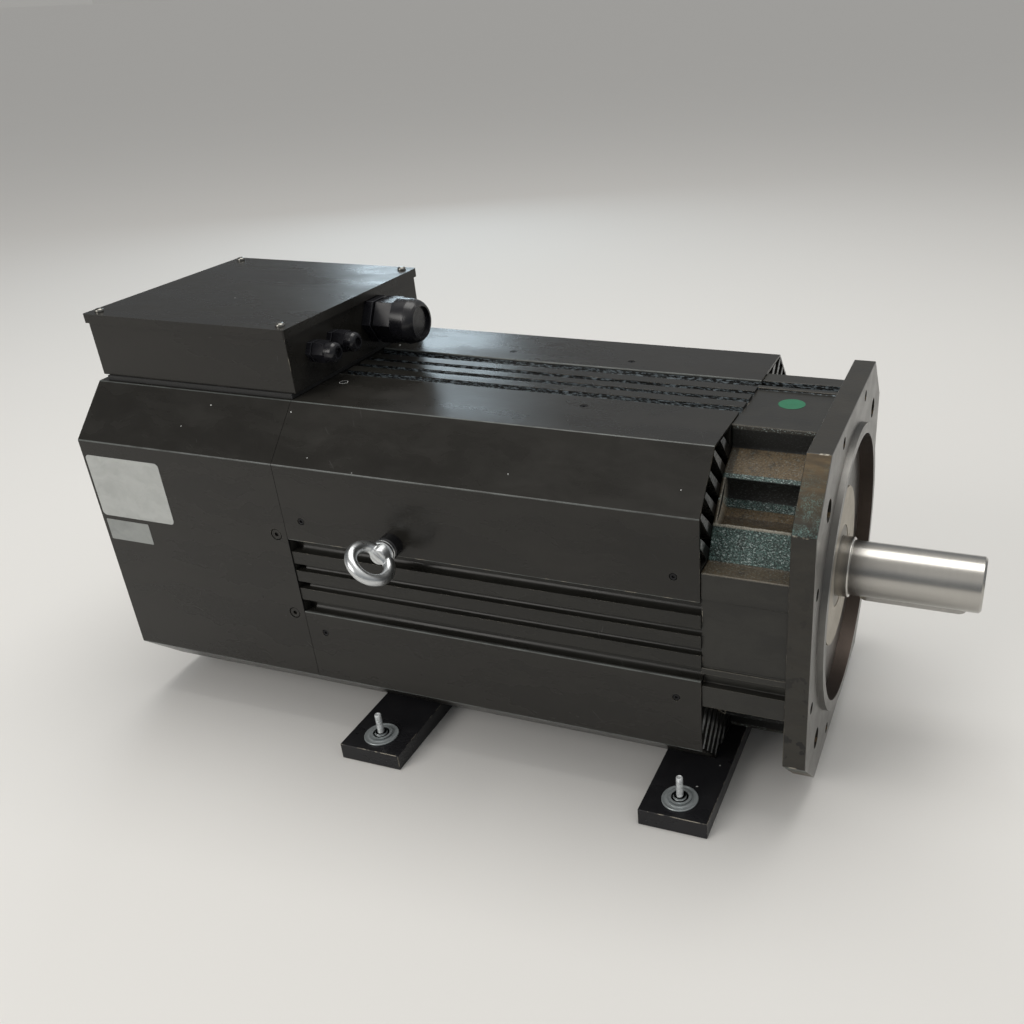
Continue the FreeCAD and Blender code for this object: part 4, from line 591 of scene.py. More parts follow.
def make_finishes(scene):
    """All materials by the record's slot name, and those of single pieces."""
    coat, metal, plates = scene.motor_paint, scene.motor_metal, scene.motor_plates
    finishes.update({
        "sheet_black": paint("satin_sheet", coat.sheet, coat, coat.roughness, coat.wear),
        "frame_black": paint("satin_frame", coat.frame, coat, 0.27, 0.62, 0.0022, 0.00003),
        "foot_black": paint("satin_bar", (0.014, 0.014, 0.016), coat, 0.3, 0.55, 0.003,
                            0.00004, 0.05),
        "fan_metal": paint("satin_fan", (0.015, 0.015, 0.015), coat, 0.4, 0.4),
        "cast_black": cast_paint("cast_paint", coat),
        "sand_cast": sand_cast("sand_cast", coat),
        "fin_ends": raw_fin_ends("fin_ends", coat),
        "groove_flecks": flecked_grooves("groove_flecks", coat),
        "flange_face": machined("turned_face", metal.face, 0.34, 0.0005, 0.00002, 0.10),
        "recess_wall": machined("recess_wall", (0.105, 0.085, 0.074), 0.38, 0.0009),
        "shaft_steel": machined("ground_shaft", metal.steel, 0.24, 0.0003, 0.0000008,
                                mottle=0.3),
        "key_steel": machined("drawn_key", (0.42, 0.41, 0.39), 0.33, 0.0004),
        "cap_metal": machined("turned_cap", metal.cap, 0.42, 0.0006, 0.00001),
        "seal_rubber": moulded("rubber", (0.014, 0.014, 0.014), 0.62),
        "seal_tan": moulded("tan_rubber", (0.27, 0.25, 0.215), 0.5),
        "bearing_steel": machined("bearing_steel", (0.62, 0.62, 0.62), 0.16, 0.0006),
        "lamination": laminated("stacked_sheet", (0.16, 0.16, 0.165)),
        "cage_aluminium": machined("cast_cage", (0.6, 0.6, 0.6), 0.42),
        "copper_winding": machined("copper_wire", (0.55, 0.24, 0.10), 0.3, 0.0012, 0.0002),
        "zinc": plated("zinc", metal.zinc, 0.30),
        "zinc_turned": plated("zinc_turned", metal.zinc, 0.24, 0.0006, 0.00001),
        "washer_zinc": plated("washer_zinc", (0.44, 0.48, 0.49), 0.32, metallic=0.45),
        "stud_zinc": plated("stud_zinc", (0.80, 0.83, 0.84), 0.28, 0.0006, 0.00001, 0.3),
        "spacer_black": moulded("spacer", (0.008, 0.008, 0.009), 0.32),
        "screw_black": plated("black_oxide", metal.screw, 0.36),
        "screw_bright": plated("bright_screw", (0.27, 0.265, 0.245), 0.24),
        "nylon_black": moulded("nylon", (0.0075, 0.0075, 0.0095), 0.24),
        "terminal_plastic": moulded("terminal", (0.05, 0.03, 0.018), 0.4),
        "terminal_brass": machined("turned_brass", (0.7, 0.5, 0.2), 0.25),
        "encoder_metal": machined("encoder_shell", (0.48, 0.48, 0.49), 0.36),
        "fan_plastic": moulded("fan_blades", (0.018, 0.018, 0.019), 0.4),
        "fan_steel": machined("fan_shaft", (0.55, 0.55, 0.55), 0.3),
        "plate_silver": label_film("plate_film", plates.silver, 0.34),
        "label_grey": label_film("label_film", plates.grey, 0.38),
        "sticker_green": label_film("sticker_film", plates.green, 0.28),
        "fleck_white": label_film("paint_fleck", (0.62, 0.63, 0.62), 0.5),
    })


# Meshes

def link(name, data):
    """Object in the scene with this data."""
    made = bpy.data.objects.new(name, data)
    bpy.context.scene.collection.objects.link(made)
    return made


def show(mesh, name, slot, finish=None, body=HOUSING, node=None):
    """Put a mesh in the scene as a piece on a body, in place of a node if one is named."""
    piece = link(name, mesh)
    if not mesh.materials:
        mesh.materials.append(finishes[finish or slot])
    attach(piece, body)
    if node:
        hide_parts(node)
    return piece


def smooth(mesh, sharp):
    """Shade a mesh smooth, except over edges sharper than an angle in degrees."""
    mesh.shade_smooth()
    mesh.set_sharp_from_angle(angle=math.radians(sharp))
    return mesh


def mesh_of(bm, name="part"):
    mesh = bpy.data.meshes.new(name)
    bm.to_mesh(mesh)
    bm.free()
    return mesh


def bevel(bm, edges, size, steps, clamped=True):
    return bmesh.ops.bevel(bm, geom=edges, offset=size, offset_type="OFFSET",
                           segments=steps, profile=0.5, affect="EDGES",
                           clamp_overlap=clamped)["faces"]


WELD = 2e-6                        # corners nearer than this are one
FLAT = math.radians(0.2)           # faces that turn less than this are one
CORNER_TURN = math.radians(28.0)   # edges that turn more than this get a round
FOLD_ROUND = 0.0011
LONG_EDGE = 0.05                   # a fold of the covers is longer than this
WIDE_EDGE = 0.012                  # an edge longer than this takes its full round
COLLAR_FRONT = 0.006
COLLAR_RADIUS = 0.0265
COLLAR_ROUND = 0.0013
NEAR = 0.0002
SEAM_WIDTH = 0.0012


def is_fold(face):
    """Whether a face lies in a lengthwise fold, between two flats of the octagon."""
    normal = face.normal
    turn = math.degrees(math.atan2(normal.z, normal.y)) % 45.0
    return abs(normal.x) <= 0.3 and 4.0 < turn < 41.0


def is_long(edge):
    """Whether an edge runs lengthwise, as the folds of the covers do."""
    way = edge.verts[1].co - edge.verts[0].co
    return abs(way.x) > LONG_EDGE and math.hypot(way.y, way.z) < 0.001


def is_wide(edge):
    """Whether an edge is long enough to take the full round of its piece."""
    return edge.calc_length() > WIDE_EDGE


def at_collar(edge):
    """Whether an edge goes round the front corner of the shaft's collar."""
    return all(abs(vert.co.x - COLLAR_FRONT) < NEAR
               and abs(math.hypot(vert.co.y, vert.co.z) - COLLAR_RADIUS) < NEAR
               for vert in edge.verts)


def rounded_mesh(node, width, folds=False, seam=None, first=None):
    """Copy of a node's mesh with small rounds on its sharp edges, marked as edge."""
    bm = bmesh.new()
    bm.from_mesh(frame["nodes"][node].data)
    bmesh.ops.remove_doubles(bm, verts=bm.verts, dist=WELD)
    bmesh.ops.dissolve_limit(bm, angle_limit=FLAT, verts=bm.verts, edges=bm.edges)
    bm.normal_update()
    ring = set()
    # edges that take the full round come first, or small neighbours would shrink it
    wide = (FOLD_ROUND, 4, is_long, True) if folds else (width, 3, is_wide, False)
    every = (width, 2, lambda edge: True, True)
    for size, steps, chosen, clamped in (first or wide, every):
        sharp = [e for e in bm.edges if e.is_manifold
                 and e.calc_face_angle(0.0) > CORNER_TURN and chosen(e)]
        made = bevel(bm, sharp, size, steps, clamped)
        ring = {face for face in ring if face.is_valid} | set(made)
        bm.normal_update()
    tags = [bm.loops.layers.float.new(name) for name in ("edge", "fold", "seam")]
    for face in bm.faces:
        # faces across the joint at the rear cover are marked seam and painted black as
        # shadow in the joint
        dark = (seam is not None and abs(face.normal.x) > 0.2
                and abs(face.calc_center_median().x - seam) < SEAM_WIDTH)
        marks = (face in ring and not dark, folds and not dark and is_fold(face), dark)
        for loop in face.loops:
            for tag, marked in zip(tags, marks):
                loop[tag] = float(marked)
    mesh = mesh_of(bm, node + "_dressed")
    if "custom_normal" in mesh.attributes:
        mesh.attributes.remove(mesh.attributes["custom_normal"])
    return smooth(mesh, 40.0)


def dress(node, width, finish=None, paint_by=None, **shape):
    """Stand-in for a node with rounded edges and its own finish."""
    mesh = rounded_mesh(node, width, **shape)
    mesh.materials.clear()
    mesh.materials.append(finishes[finish or SLOTS[node]])
    for face in mesh.polygons:
        face.material_index = 0
    if paint_by:
        paint_by(mesh)
    piece = show(mesh, node + "_skin", SLOTS[node], node=node,
                 body=frame["nodes"][node]["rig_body"])
    # large flat faces stay flat where small rounds meet them
    modifier = piece.modifiers.new("Normals", "WEIGHTED_NORMAL")
    modifier.keep_sharp = True
    modifier.weight = 100


def joined(name, parts):
    """One mesh from several, each put in its own place."""
    bm = bmesh.new()
    for mesh, place in parts:
        spare = mesh.copy()
        spare.transform(place)
        bm.from_mesh(spare)
        bpy.data.meshes.remove(spare)
    return mesh_of(bm, name)


def members(node):
    """Lowest and highest corners of each separate solid in a node."""
    bm = bmesh.new()
    bm.from_mesh(frame["nodes"][node].data)
    left = set(bm.verts)
    boxes = []
    while left:
        group, ahead = [], [left.pop()]
        while ahead:
            vert = ahead.pop()
            group.append(vert.co.copy())
            for edge in vert.link_edges:
                other = edge.other_vert(vert)
                if other in left:
                    left.remove(other)
                    ahead.append(other)
        boxes.append((Vector([min(c[i] for c in group) for i in range(3)]),
                      Vector([max(c[i] for c in group) for i in range(3)])))
    bm.free()
    merged = []
    for low, high in sorted(boxes, key=lambda box: -(box[1] - box[0]).length):
        if not any(all(a[i] - 1e-4 <= low[i] and high[i] <= b[i] + 1e-4
                       for i in range(3)) for a, b in merged):
            merged.append((low, high))
    return sorted(merged, key=lambda box: tuple(box[0]))


def over(low, high, z):
    """Place at the middle of a box seen from above, at a height."""
    return Matrix.Translation(((low.x + high.x) / 2, (low.y + high.y) / 2, z))


def facing(way):
    """Turn that brings Z to a direction."""
    return Vector(way).to_track_quat("Z", "Y").to_matrix().to_4x4()


def circle(steps):
    """Cosine and sine of evenly spaced angles."""
    turns = [2 * math.pi * i / steps for i in range(steps)]
    return [(math.cos(a), math.sin(a)) for a in turns]


def bridge(bm, rings):
    """Faces between each ring of points and the next; a ring of one point is a tip."""
    for low, high in zip(rings, rings[1:]):
        count = max(len(low), len(high))
        for i in range(count):
            j = (i + 1) % count
            corners = dict.fromkeys((low[i % len(low)], low[j % len(low)],
                                     high[j % len(high)], high[i % len(high)]))
            if len(corners) > 2:
                bm.faces.new(list(corners))


def lathe(profile, steps):
    """Turned mesh about Z from (radius, height) points; a zero radius closes it."""
    bm = bmesh.new()
    bridge(bm, [[bm.verts.new((radius * c, radius * s, height))
                 for c, s in (circle(steps) if radius else [(0.0, 0.0)])]
                for radius, height in profile])
    bmesh.ops.recalc_face_normals(bm, faces=bm.faces)
    return smooth(mesh_of(bm), 35.0)


def rounded_plate(width, height, thick, corner, steps=8):
    """Thin plate in the XY plane with round corners and a softened rim."""
    bm = bmesh.new()
    outline = []
    for cx, cy, start in ((1, 1, 0), (-1, 1, 1), (-1, -1, 2), (1, -1, 3)):
        for i in range(steps + 1):
            a = (start + i / steps) * math.pi / 2
            outline.append((cx * (width / 2 - corner) + corner * math.cos(a),
                            cy * (height / 2 - corner) + corner * math.sin(a)))
    face = bm.faces.new([bm.verts.new((x, y, 0)) for x, y in outline])
    for item in bmesh.ops.extrude_face_region(bm, geom=[face])["geom"]:
        if isinstance(item, bmesh.types.BMVert):
            item.co.z = thick
    bmesh.ops.recalc_face_normals(bm, faces=bm.faces)
    bevel(bm, [e for e in bm.edges if all(v.co.z > thick / 2 for v in e.verts)],
          thick * 0.4, 2)
    return mesh_of(bm)


# share of the radius and sink below the top, round the dished tip of a stud
STUD_TIP = ((0.72, 0.0), (0.5, 0.16), (0.22, 0.34))


def thread(radius, depth, pitch, low, high, steps=36, rows=8):
    """Threaded end about Z with a bevelled, dished tip."""
    bm = bmesh.new()
    count = int(round((high - low) / pitch * rows))
    rings = []
    for k in range(count + 1):
        z = low + (high - low) * k / count
        tip = max(0.0, 1.0 - (high - z) / (depth * 2.0))
        ring = []
        for i, (c, s) in enumerate(circle(steps)):
            flank = abs(2.0 * ((z / pitch - i / steps) % 1.0) - 1.0)
            r = radius - depth * (1.0 - min(1.0, flank * 1.25)) - depth * 0.8 * tip
            ring.append(bm.verts.new((r * c, r * s, z)))
        rings.append(ring)
    for part, drop in STUD_TIP:
        rings.append([bm.verts.new((part * radius * c, part * radius * s,
                                    high - drop * radius)) for c, s in circle(steps)])
    bridge(bm, rings)
    bm.faces.new(rings[0][::-1])
    bm.faces.new(rings[-1])
    return smooth(mesh_of(bm), 50.0)


def baked(piece, *spares):
    """Final mesh of a helper object, which is then taken out of the scene."""
    view = bpy.context.evaluated_depsgraph_get()
    view.update()
    mesh = bpy.data.meshes.new_from_object(piece.evaluated_get(view))
    for part in (piece, *spares):
        bpy.data.objects.remove(part)
    return mesh


def cut_with(mesh, cutter):
    """Mesh with the shape of another one taken out of it."""
    whole, tool = link("whole", mesh), link("tool", cutter)
    modifier = whole.modifiers.new("Cut", "BOOLEAN")
    modifier.operation = "DIFFERENCE"
    modifier.solver = "EXACT"
    modifier.object = tool
    return baked(whole, tool)


def block(half, centre):
    """Block about a point, from half its size each way."""
    bm = bmesh.new()
    bmesh.ops.create_cube(bm, size=2.0)
    bmesh.ops.scale(bm, vec=half, verts=bm.verts)
    bmesh.ops.translate(bm, vec=centre, verts=bm.verts)
    return mesh_of(bm)


# shares of the radius and of the rise of a domed screw head
DOME = ((0.0, 0.0), (1.0, 0.0), (1.0, 0.35), (0.93, 0.62), (0.76, 0.84), (0.5, 0.97),
        (0.0, 1.0))


def pan_head(radius, rise):
    """Domed screw head with a cross recess, standing on z = 0."""
    dome = lathe([(radius * r, rise * z) for r, z in DOME], 40)
    arm, thin, deep = radius * 0.52, radius * 0.12, rise * 0.45
    return cut_with(dome, joined("cross", [
        (block(half, (0, 0, rise)), Matrix())
        for half in ((arm, thin, deep), (thin, arm, deep))]))


def socket_screw(radius, across, depth, reach):
    """Flat-headed screw with a hexagon socket; the top of its head is z = 0."""
    under, shank, sunk = depth * 1.6, radius * 0.58, -depth * 0.06
    head = lathe([(0.0, -reach), (shank, -reach), (shank, -under),
                  (radius, -under * 0.7), (radius, -radius * 0.09),
                  (radius * 0.93, 0.0), (radius * 0.72, 0.0), (radius * 0.68, sunk),
                  (0.0, sunk)], 40)
    return cut_with(head, lathe([(0.0, -depth), (across, -depth), (across, depth),
                                 (0.0, depth)], 6))


# Operators

class MOTOR_OT_finishes(bpy.types.Operator):
    """Make every finish of the motor"""
    bl_idname = "motor.finishes"
    bl_label = "Finishes"

    def execute(self, context):
        make_finishes(context.scene)
        for node, piece in frame["nodes"].items():
            piece.data.materials.clear()
            piece.data.materials.append(finishes[SLOTS[node]])
        return {"FINISHED"}


class MOTOR_OT_covers(bpy.types.Operator):
    """Dress the folded covers and the rear cover"""
    bl_idname = "motor.covers"
    bl_label = "Sheet covers"

    def execute(self, context):
        for node in ("cover_top_near", "cover_top_far", "cover_bottom_near",
                     "cover_bottom_far", "rear_cover"):
            dress(node, context.scene.motor_edges.sheet, folds=True,
                  seam=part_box("rear_cover")[1].x)
        return {"FINISHED"}


# Corner pockets of the casting, in metres; CORNER goes round one in (y, z)
POCKET_FRONT = -0.0192
POCKET_BACK = -0.0862
CHANNEL_BACK = -0.0836
CHANNEL = (0.1005, 0.1005)
CHANNEL_RADIUS = 0.019
CORNER = ((0.060, 0.1464), (0.060, 0.127), (0.0874, 0.1136), (0.1136, 0.0874),
          (0.127, 0.062), (0.1464, 0.062))
RELIEF_STEP = 0.00115
# bands of the channel, each with the share of the arc where it ends
CHANNEL_BANDS = {"roof": 0.35, "shelf": 0.47, "step": 0.60, "floor": 1.01}
# height of the relief in metres, then shares of painted tan reflection, painted green-grey
# reflection, flecks and bare metal
BANDS = {
    "wall": (0.00012, 0.0, 0.0, 0.04, 0.0), "slope": (0.00030, 1.0, 0.06, 0.2, 0.0),
    "roof": (0.00022, 0.0, 0.0, 0.1, 0.0), "shelf": (0.00080, 0.15, 1.0, 1.0, 0.0),
    "step": (0.00040, 1.0, 0.05, 0.2, 0.0), "floor": (0.00020, 0.42, 0.0, 0.1, 0.0),
    "face": (0.00055, 0.12, 1.0, 0.9, 0.0), "ledge": (0.00018, 0.45, 0.05, 0.2, 0.0),
}
SLOPE_LIP = (0.0005, 0.05, 1.0, 1.0, 0.0)
TAN, GREEN, FLECK, BARE = 1, 2, 3, 4
# bands that are rubbed bare at their start, 0, or end, 1: how far, and how much
RUBBED_ENDS = {"floor": (1, 0.0015, 0.8), "face": (0, 0.0012, 0.9),
               "ledge": (1, 0.0022, 0.7)}
WALL_TOP = 0.003                   # how far the flecks run down from the top of the wall
SLOPE_LIP_WIDTH = 0.0056
SLOPE_SHADE = 0.006                # how far the slope is darker from its back
CHANNEL_EDGE = 0.0008
SKIN_IN = 0.0005                   # how far the relief's inner side is in the metal
SKIN_OUT = 0.00004                 # how far its outer side is over it at least


def spaced(start, end):
    start, end = Vector(start), Vector(end)
    count = max(1, int(round((end - start).length / RELIEF_STEP)))
    return [start.lerp(end, i / count) for i in range(count)]


def pocket_line():
    """Points round one corner pocket: each with its straight form, its band, and how
    far it is from the band's start and end."""
    wall, foot, rim, sill, nose, ledge = (Vector(point) for point in CORNER)
    centre = Vector(CHANNEL)
    line = [(p, p, "wall") for p in spaced(wall, foot)]
    line += [(p, p, "slope") for p in spaced(foot, rim)]
    first = math.atan2(rim.y - centre.y, rim.x - centre.x)
    last = math.atan2(sill.y - centre.y, sill.x - centre.x) + 2 * math.pi
    turns = int(round(CHANNEL_RADIUS * (last - first) / RELIEF_STEP))
    for i in range(turns):
        part = i / turns
        turn = first + (last - first) * part
        deep = centre + CHANNEL_RADIUS * Vector((math.cos(turn), math.sin(turn)))
        band = next(name for name, end in CHANNEL_BANDS.items() if part < end)
        line.append((deep, rim.lerp(sill, part), band))
    line += [(p, p, "face") for p in spaced(sill, nose)]
    line += [(p, p, "ledge") for p in (*spaced(nose, ledge), ledge)]
    whole, seen, measured = Counter(band for *_, band in line), Counter(), []
    for deep, flat, band in line:
        measured.append((deep, flat, band, (seen[band] * RELIEF_STEP,
                                            (whole[band] - seen[band]) * RELIEF_STEP)))
        seen[band] += 1
    return measured


def pocket_shares(band, ends, x):
    """Relief height and colour shares at one point of a corner pocket."""
    before, after = ends
    shares = list(BANDS[band])
    if band == "wall" and before < WALL_TOP:
        shares[FLECK], shares[BARE] = 1.0, 0.15
    if band == "slope":
        if after < SLOPE_LIP_WIDTH:
            shares = list(SLOPE_LIP)
        if x - POCKET_BACK < SLOPE_SHADE:
            shares[TAN] *= 0.35
    if band in RUBBED_ENDS:
        end, reach, bare = RUBBED_ENDS[band]
        if ends[end] < reach:
            shares[BARE] = bare
    if band in CHANNEL_BANDS:
        if abs(x - CHANNEL_BACK) < CHANNEL_EDGE:
            shares[BARE] = 1.0
        elif x < CHANNEL_BACK:
            shares[TAN], shares[GREEN], shares[BARE] = 0.35, 0.05, 0.0
    return shares


def corner_relief(across, up):
    """Closed shell over one corner pocket of the casting with its sand-cast relief."""
    line = pocket_line()
    last = len(line) - 1
    columns = int(round((POCKET_FRONT - POCKET_BACK) / RELIEF_STEP))
    bm = bmesh.new()
    tags = [bm.verts.layers.float.new(name) for name in ("tan", "green", "fleck", "bare")]
    rings = []
    for column in range(columns + 1):
        x = POCKET_BACK + (POCKET_FRONT - POCKET_BACK) * column / columns
        points = [deep if x > CHANNEL_BACK else flat for deep, flat, *_ in line]
        outer, inner = [], []
        for i, point in enumerate(points):
            along = (points[min(last, i + 1)] - points[max(0, i - 1)]).normalized()
            normal = Vector((-along.y, along.x))
            near = points[max(0, i - 3):i + 4]
            middle = sum(near, Vector((0.0, 0.0))) / len(near)
            fill = max(0.0, (middle - point).dot(normal)) if 3 <= i < last - 2 else 0.0
            height, *colours = pocket_shares(*line[i][2:], x)
            place = Vector((x, point.x * across, point.y * up))
            grain = lumps.fractal(place * 420.0, 0.6, 2.1, 3)
            rise = height * (0.55 + 0.75 * grain + 0.35 * lumps.noise(place * 110.0))
            fade = min(1.0, i / 3.0, (last - i) / 3.0)
            out = point + normal * (SKIN_OUT + fade * (fill * 0.8 + max(0.0, rise)))
            deep = point - normal * SKIN_IN
            vert = bm.verts.new((x, out.x * across, out.y * up))
            for tag, value in zip(tags, colours):
                vert[tag] = value
            outer.append(vert)
            inner.append(bm.verts.new((x, deep.x * across, deep.y * up)))
        rings.append(outer + inner[::-1])
    bridge(bm, rings)
    for ring in (rings[0], rings[-1]):
        for i in range(last):
            bm.faces.new((ring[i], ring[-1 - i], ring[-2 - i], ring[i + 1]))
    bmesh.ops.recalc_face_normals(bm, faces=bm.faces)
    mesh = mesh_of(bm)
    mesh.shade_smooth()
    return mesh


PAD_FACE = 0.147
LAND_EDGE = 0.0008                 # as deep as the round on the edge of a pad or land
TOP_BAND = 0.056                   # half the width of the grooved band on top
GROOVE_DEPTH = 0.014
FORWARD = 0.7                      # a normal's share along X on a face that looks forward
FACE_PLANE = -0.0005
SPIGOT_RADIUS = 0.12
RECESS_BACK = -0.0085
RECESS_RADIUS = 0.1165
RIM = (-0.020, 0.001)              # from the back of the flange to its front
CORNER_FLAT = (0.105, 0.045)       # |y| where the flange's slanted corner starts; width
BLOTCHED_BELOW = 0.03
# rim marks: painted brown reflection, painted green-grey reflection, dark blotches, worn
# pad edges
RIM_MARKS = ("brown_sheen", "green", "blotch", "sheen_and_rub")


def in_groove(face, top):
    """Whether a face is a side wall of one of the grooves in a top land."""
    x, y, z = face.center
    return (abs(y) < TOP_BAND and top - GROOVE_DEPTH < z < top - LAND_EDGE
            and abs(face.normal.z) < 0.9 and abs(face.normal.x) < 0.5)


def pad_edge(face):
    """Whether a face lies on a lengthwise edge of one of the four pads."""
    x, y, z = face.center
    return (POCKET_BACK + 0.003 < x < POCKET_FRONT - 0.001
            and PAD_FACE - LAND_EDGE < max(abs(y), abs(z)) < PAD_FACE + 0.0001)


def bracket_regions(mesh):
    """Machined front and dark recess wall of the casting, and marks on its rim: painted
    brown and green-grey reflections, blotches and worn pad edges.
    """
    for name in ("flange_face", "recess_wall", "groove_flecks"):
        mesh.materials.append(finishes[name])
    for name in RIM_MARKS:
        mesh.attributes.new(name, "FLOAT", "CORNER")
    marks = [mesh.attributes[name].data for name in RIM_MARKS]
    edged = [item.value > 0.5 for item in mesh.attributes["edge"].data]
    for face in mesh.polygons:
        x, y, z = face.center
        radius = math.hypot(y, z)
        if z > 0 and x < POCKET_FRONT and in_groove(face, PAD_FACE):
            face.material_index = 3
        elif x > FACE_PLANE and (face.normal.x > FORWARD or radius > SPIGOT_RADIUS):
            face.material_index = 1
        elif x > RECESS_BACK and radius < RECESS_RADIUS:
            face.material_index = 1 if face.normal.x > FORWARD else 2
        slanted = min(abs(face.normal.y), abs(face.normal.z)) > 0.5
        rim = RIM[0] < x < RIM[1] and abs(face.normal.x) < 0.4
        for corner in face.loop_indices:
            spot = mesh.vertices[mesh.loops[corner].vertex_index].co
            brown_sheen = green = blotch = 0.0
            if rim and slanted:
                # painted brown reflection at the top of the corner's flat, painted
                # green-grey reflection towards its foot
                low = (abs(spot.y) - CORNER_FLAT[0]) / CORNER_FLAT[1]
                low = max(0.0, min(1.0, low))
                brown_sheen, green = max(0.0, 1.0 - 1.4 * low), max(0.0, 1.7 * low - 0.7)
            elif rim:
                brown_sheen, blotch = 0.05, float(spot.z < BLOTCHED_BELOW)
            sheen_and_rub = float(edged[corner] and pad_edge(face))
            for mark, value in zip(marks, (brown_sheen, green, blotch, sheen_and_rub)):
                mark[corner].value = value


class MOTOR_OT_casting(bpy.types.Operator):
    """Dress the front casting and its four rough corner pockets"""
    bl_idname = "motor.casting"
    bl_label = "Front casting"

    def execute(self, context):
        dress("front_bracket", context.scene.motor_edges.cast,
              paint_by=bracket_regions)
        for name, across, up in (("upper_near", -1, 1), ("upper_far", 1, 1),
                                 ("lower_near", -1, -1), ("lower_far", 1, -1)):
            show(corner_relief(across, up), "pocket_relief_" + name, "cast_black",
                 "sand_cast")
        return {"FINISHED"}


FRONT_ROUND = 0.0006               # reach of the rounds on the frame's front end


def frame_regions(mesh):
    """Sawn front end of the stator frame, which shows in the corner pockets."""
    for name in ("fin_ends", "groove_flecks"):
        mesh.materials.append(finishes[name])
    front = max(vert.co.x for vert in mesh.vertices)
    top = max(vert.co.z for vert in mesh.vertices)
    for face in mesh.polygons:
        if face.normal.x > 0.9 and face.center.x > front - FRONT_ROUND:
            face.material_index = 1
        elif in_groove(face, top):
            face.material_index = 2


class MOTOR_OT_stator_frame(bpy.types.Operator):
    """Dress the grooved and finned stator frame"""
    bl_idname = "motor.stator_frame"
    bl_label = "Stator frame"

    def execute(self, context):
        dress("stator_frame", context.scene.motor_edges.frame, paint_by=frame_regions)
        return {"FINISHED"}


class MOTOR_OT_junction_box(bpy.types.Operator):
    """Dress the junction box and its lid"""
    bl_idname = "motor.junction_box"
    bl_label = "Junction box"

    def execute(self, context):
        width = context.scene.motor_edges.sheet
        dress("junction_box", width)
        dress("box_lid", width * 1.5, folds=True)
        return {"FINISHED"}


class MOTOR_OT_glands(bpy.types.Operator):
    """Dress the cable glands and their blanking plugs"""
    bl_idname = "motor.glands"
    bl_label = "Cable glands"

    def execute(self, context):
        width = context.scene.motor_edges.moulded
        for kind, size in (("power_gland", width), ("signal_gland_near", width * 0.6),
                           ("signal_gland_far", width * 0.6)):
            for part in ("body", "cap", "plug"):
                dress(f"{kind}_{part}", size)
        return {"FINISHED"}


class MOTOR_OT_shaft_end(bpy.types.Operator):
    """Dress the shaft, its key and the bearing cap"""
    bl_idname = "motor.shaft_end"
    bl_label = "Shaft end"

    def execute(self, context):
        width = context.scene.motor_edges.turned
        dress("shaft", width, first=(COLLAR_ROUND, 4, at_collar, True))
        dress("shaft_key", width)
        dress("front_bearing_cap", width)
        return {"FINISHED"}


class MOTOR_OT_foot_bars(bpy.types.Operator):
    """Dress the foot bars"""
    bl_idname = "motor.foot_bars"
    bl_label = "Foot bars"

    def execute(self, context):
        for node in ("foot_bar_front", "foot_bar_rear"):
            dress(node, context.scene.motor_edges.bar)
        return {"FINISHED"}


# Lifting eye, in metres: where it stands, its ring, and (radius, height) profiles
EYE_FOOT = (-0.352, -0.159, 0.048)
EYE_TURN = math.radians(41.0)
EYE_RISE = 0.0225
EYE_RING = 0.0165
EYE_TUBE = 0.005
EYE_NECK = ((0.0, 0.0015), (0.0086, 0.0015), (0.0088, 0.0052), (0.0080, 0.0085),
            (0.0070, 0.0125), (0.0, 0.0130))
EYE_WEB = ((0.0, 0.0035), (0.0062, 0.0045), (0.0092, 0.0080), (0.0098, 0.0110),
           (0.0070, 0.0138), (0.0, 0.0146))
EYE_WEB_FLAT = (1.12, 0.42, 1.0, 1.0)
EYE_COLLAR = ((0.0, 0.0), (0.0094, 0.0), (0.0100, 0.0005), (0.0100, 0.0018),
              (0.0097, 0.0021), (0.0097, 0.0025), (0.0100, 0.0028), (0.0100, 0.0044),
              (0.0095, 0.0050), (0.0080, 0.0052), (0.0, 0.0052))
EYE_SHANK = ((0.0, -0.030), (0.0046, -0.030), (0.0049, -0.0295), (0.0049, 0.001),
             (0.0, 0.001))
EYE_VOXEL = 0.00042


class MOTOR_OT_lifting_eye(bpy.types.Operator):
    """Forge the lifting eye: ring, web and neck in one, on a turned collar"""
    bl_idname = "motor.lifting_eye"
    bl_label = "Lifting eye"

    def execute(self, context):
        bm = bmesh.new()
        rows = []
        for c, s in circle(96):
            rows.append([])
            for inward, side in circle(28):
                reach = EYE_RING + EYE_TUBE * inward
                rows[-1].append(bm.verts.new((reach * c, EYE_TUBE * side,
                                              EYE_RISE + reach * s)))
        bridge(bm, rows + rows[:1])
        bmesh.ops.recalc_face_normals(bm, faces=bm.faces)
        blank = link("blank", joined("forging", [
            (mesh_of(bm), Matrix()), (lathe(EYE_NECK, 48), Matrix()),
            (lathe(EYE_WEB, 48), Matrix.Diagonal(EYE_WEB_FLAT))]))
        remesh = blank.modifiers.new("Union", "REMESH")
        remesh.mode = "VOXEL"
        remesh.voxel_size = EYE_VOXEL
        soften = blank.modifiers.new("Soften", "SMOOTH")
        soften.factor = 0.5
        soften.iterations = 9
        forging = baked(blank)
        collar = joined("collar", [(lathe(EYE_COLLAR, 72), Matrix()),
                                   (lathe(EYE_SHANK, 36), Matrix())])
        place = (Matrix.Translation(EYE_FOOT) @ Matrix.Rotation(EYE_TURN, 4, "Y")
                 @ Matrix.Rotation(math.pi / 2, 4, "X"))
        for mesh, name, finish in ((forging, "eye_forging", "zinc"),
                                   (collar, "eye_collar", "zinc_turned")):
            mesh.materials.clear()
            mesh.transform(place)
            show(smooth(mesh, 35.0), name, "zinc", finish, node="eye_bolt")
        dress("eye_spacer", 0.0003)
        return {"FINISHED"}


STUD_RADIUS = 0.00295
THREAD_DEPTH = 0.00055
THREAD_RUN = 0.0188
SHANK_RADIUS = 0.0026
SHANK_OVERLAP = 0.0002
WASHER_THICK = 0.0016
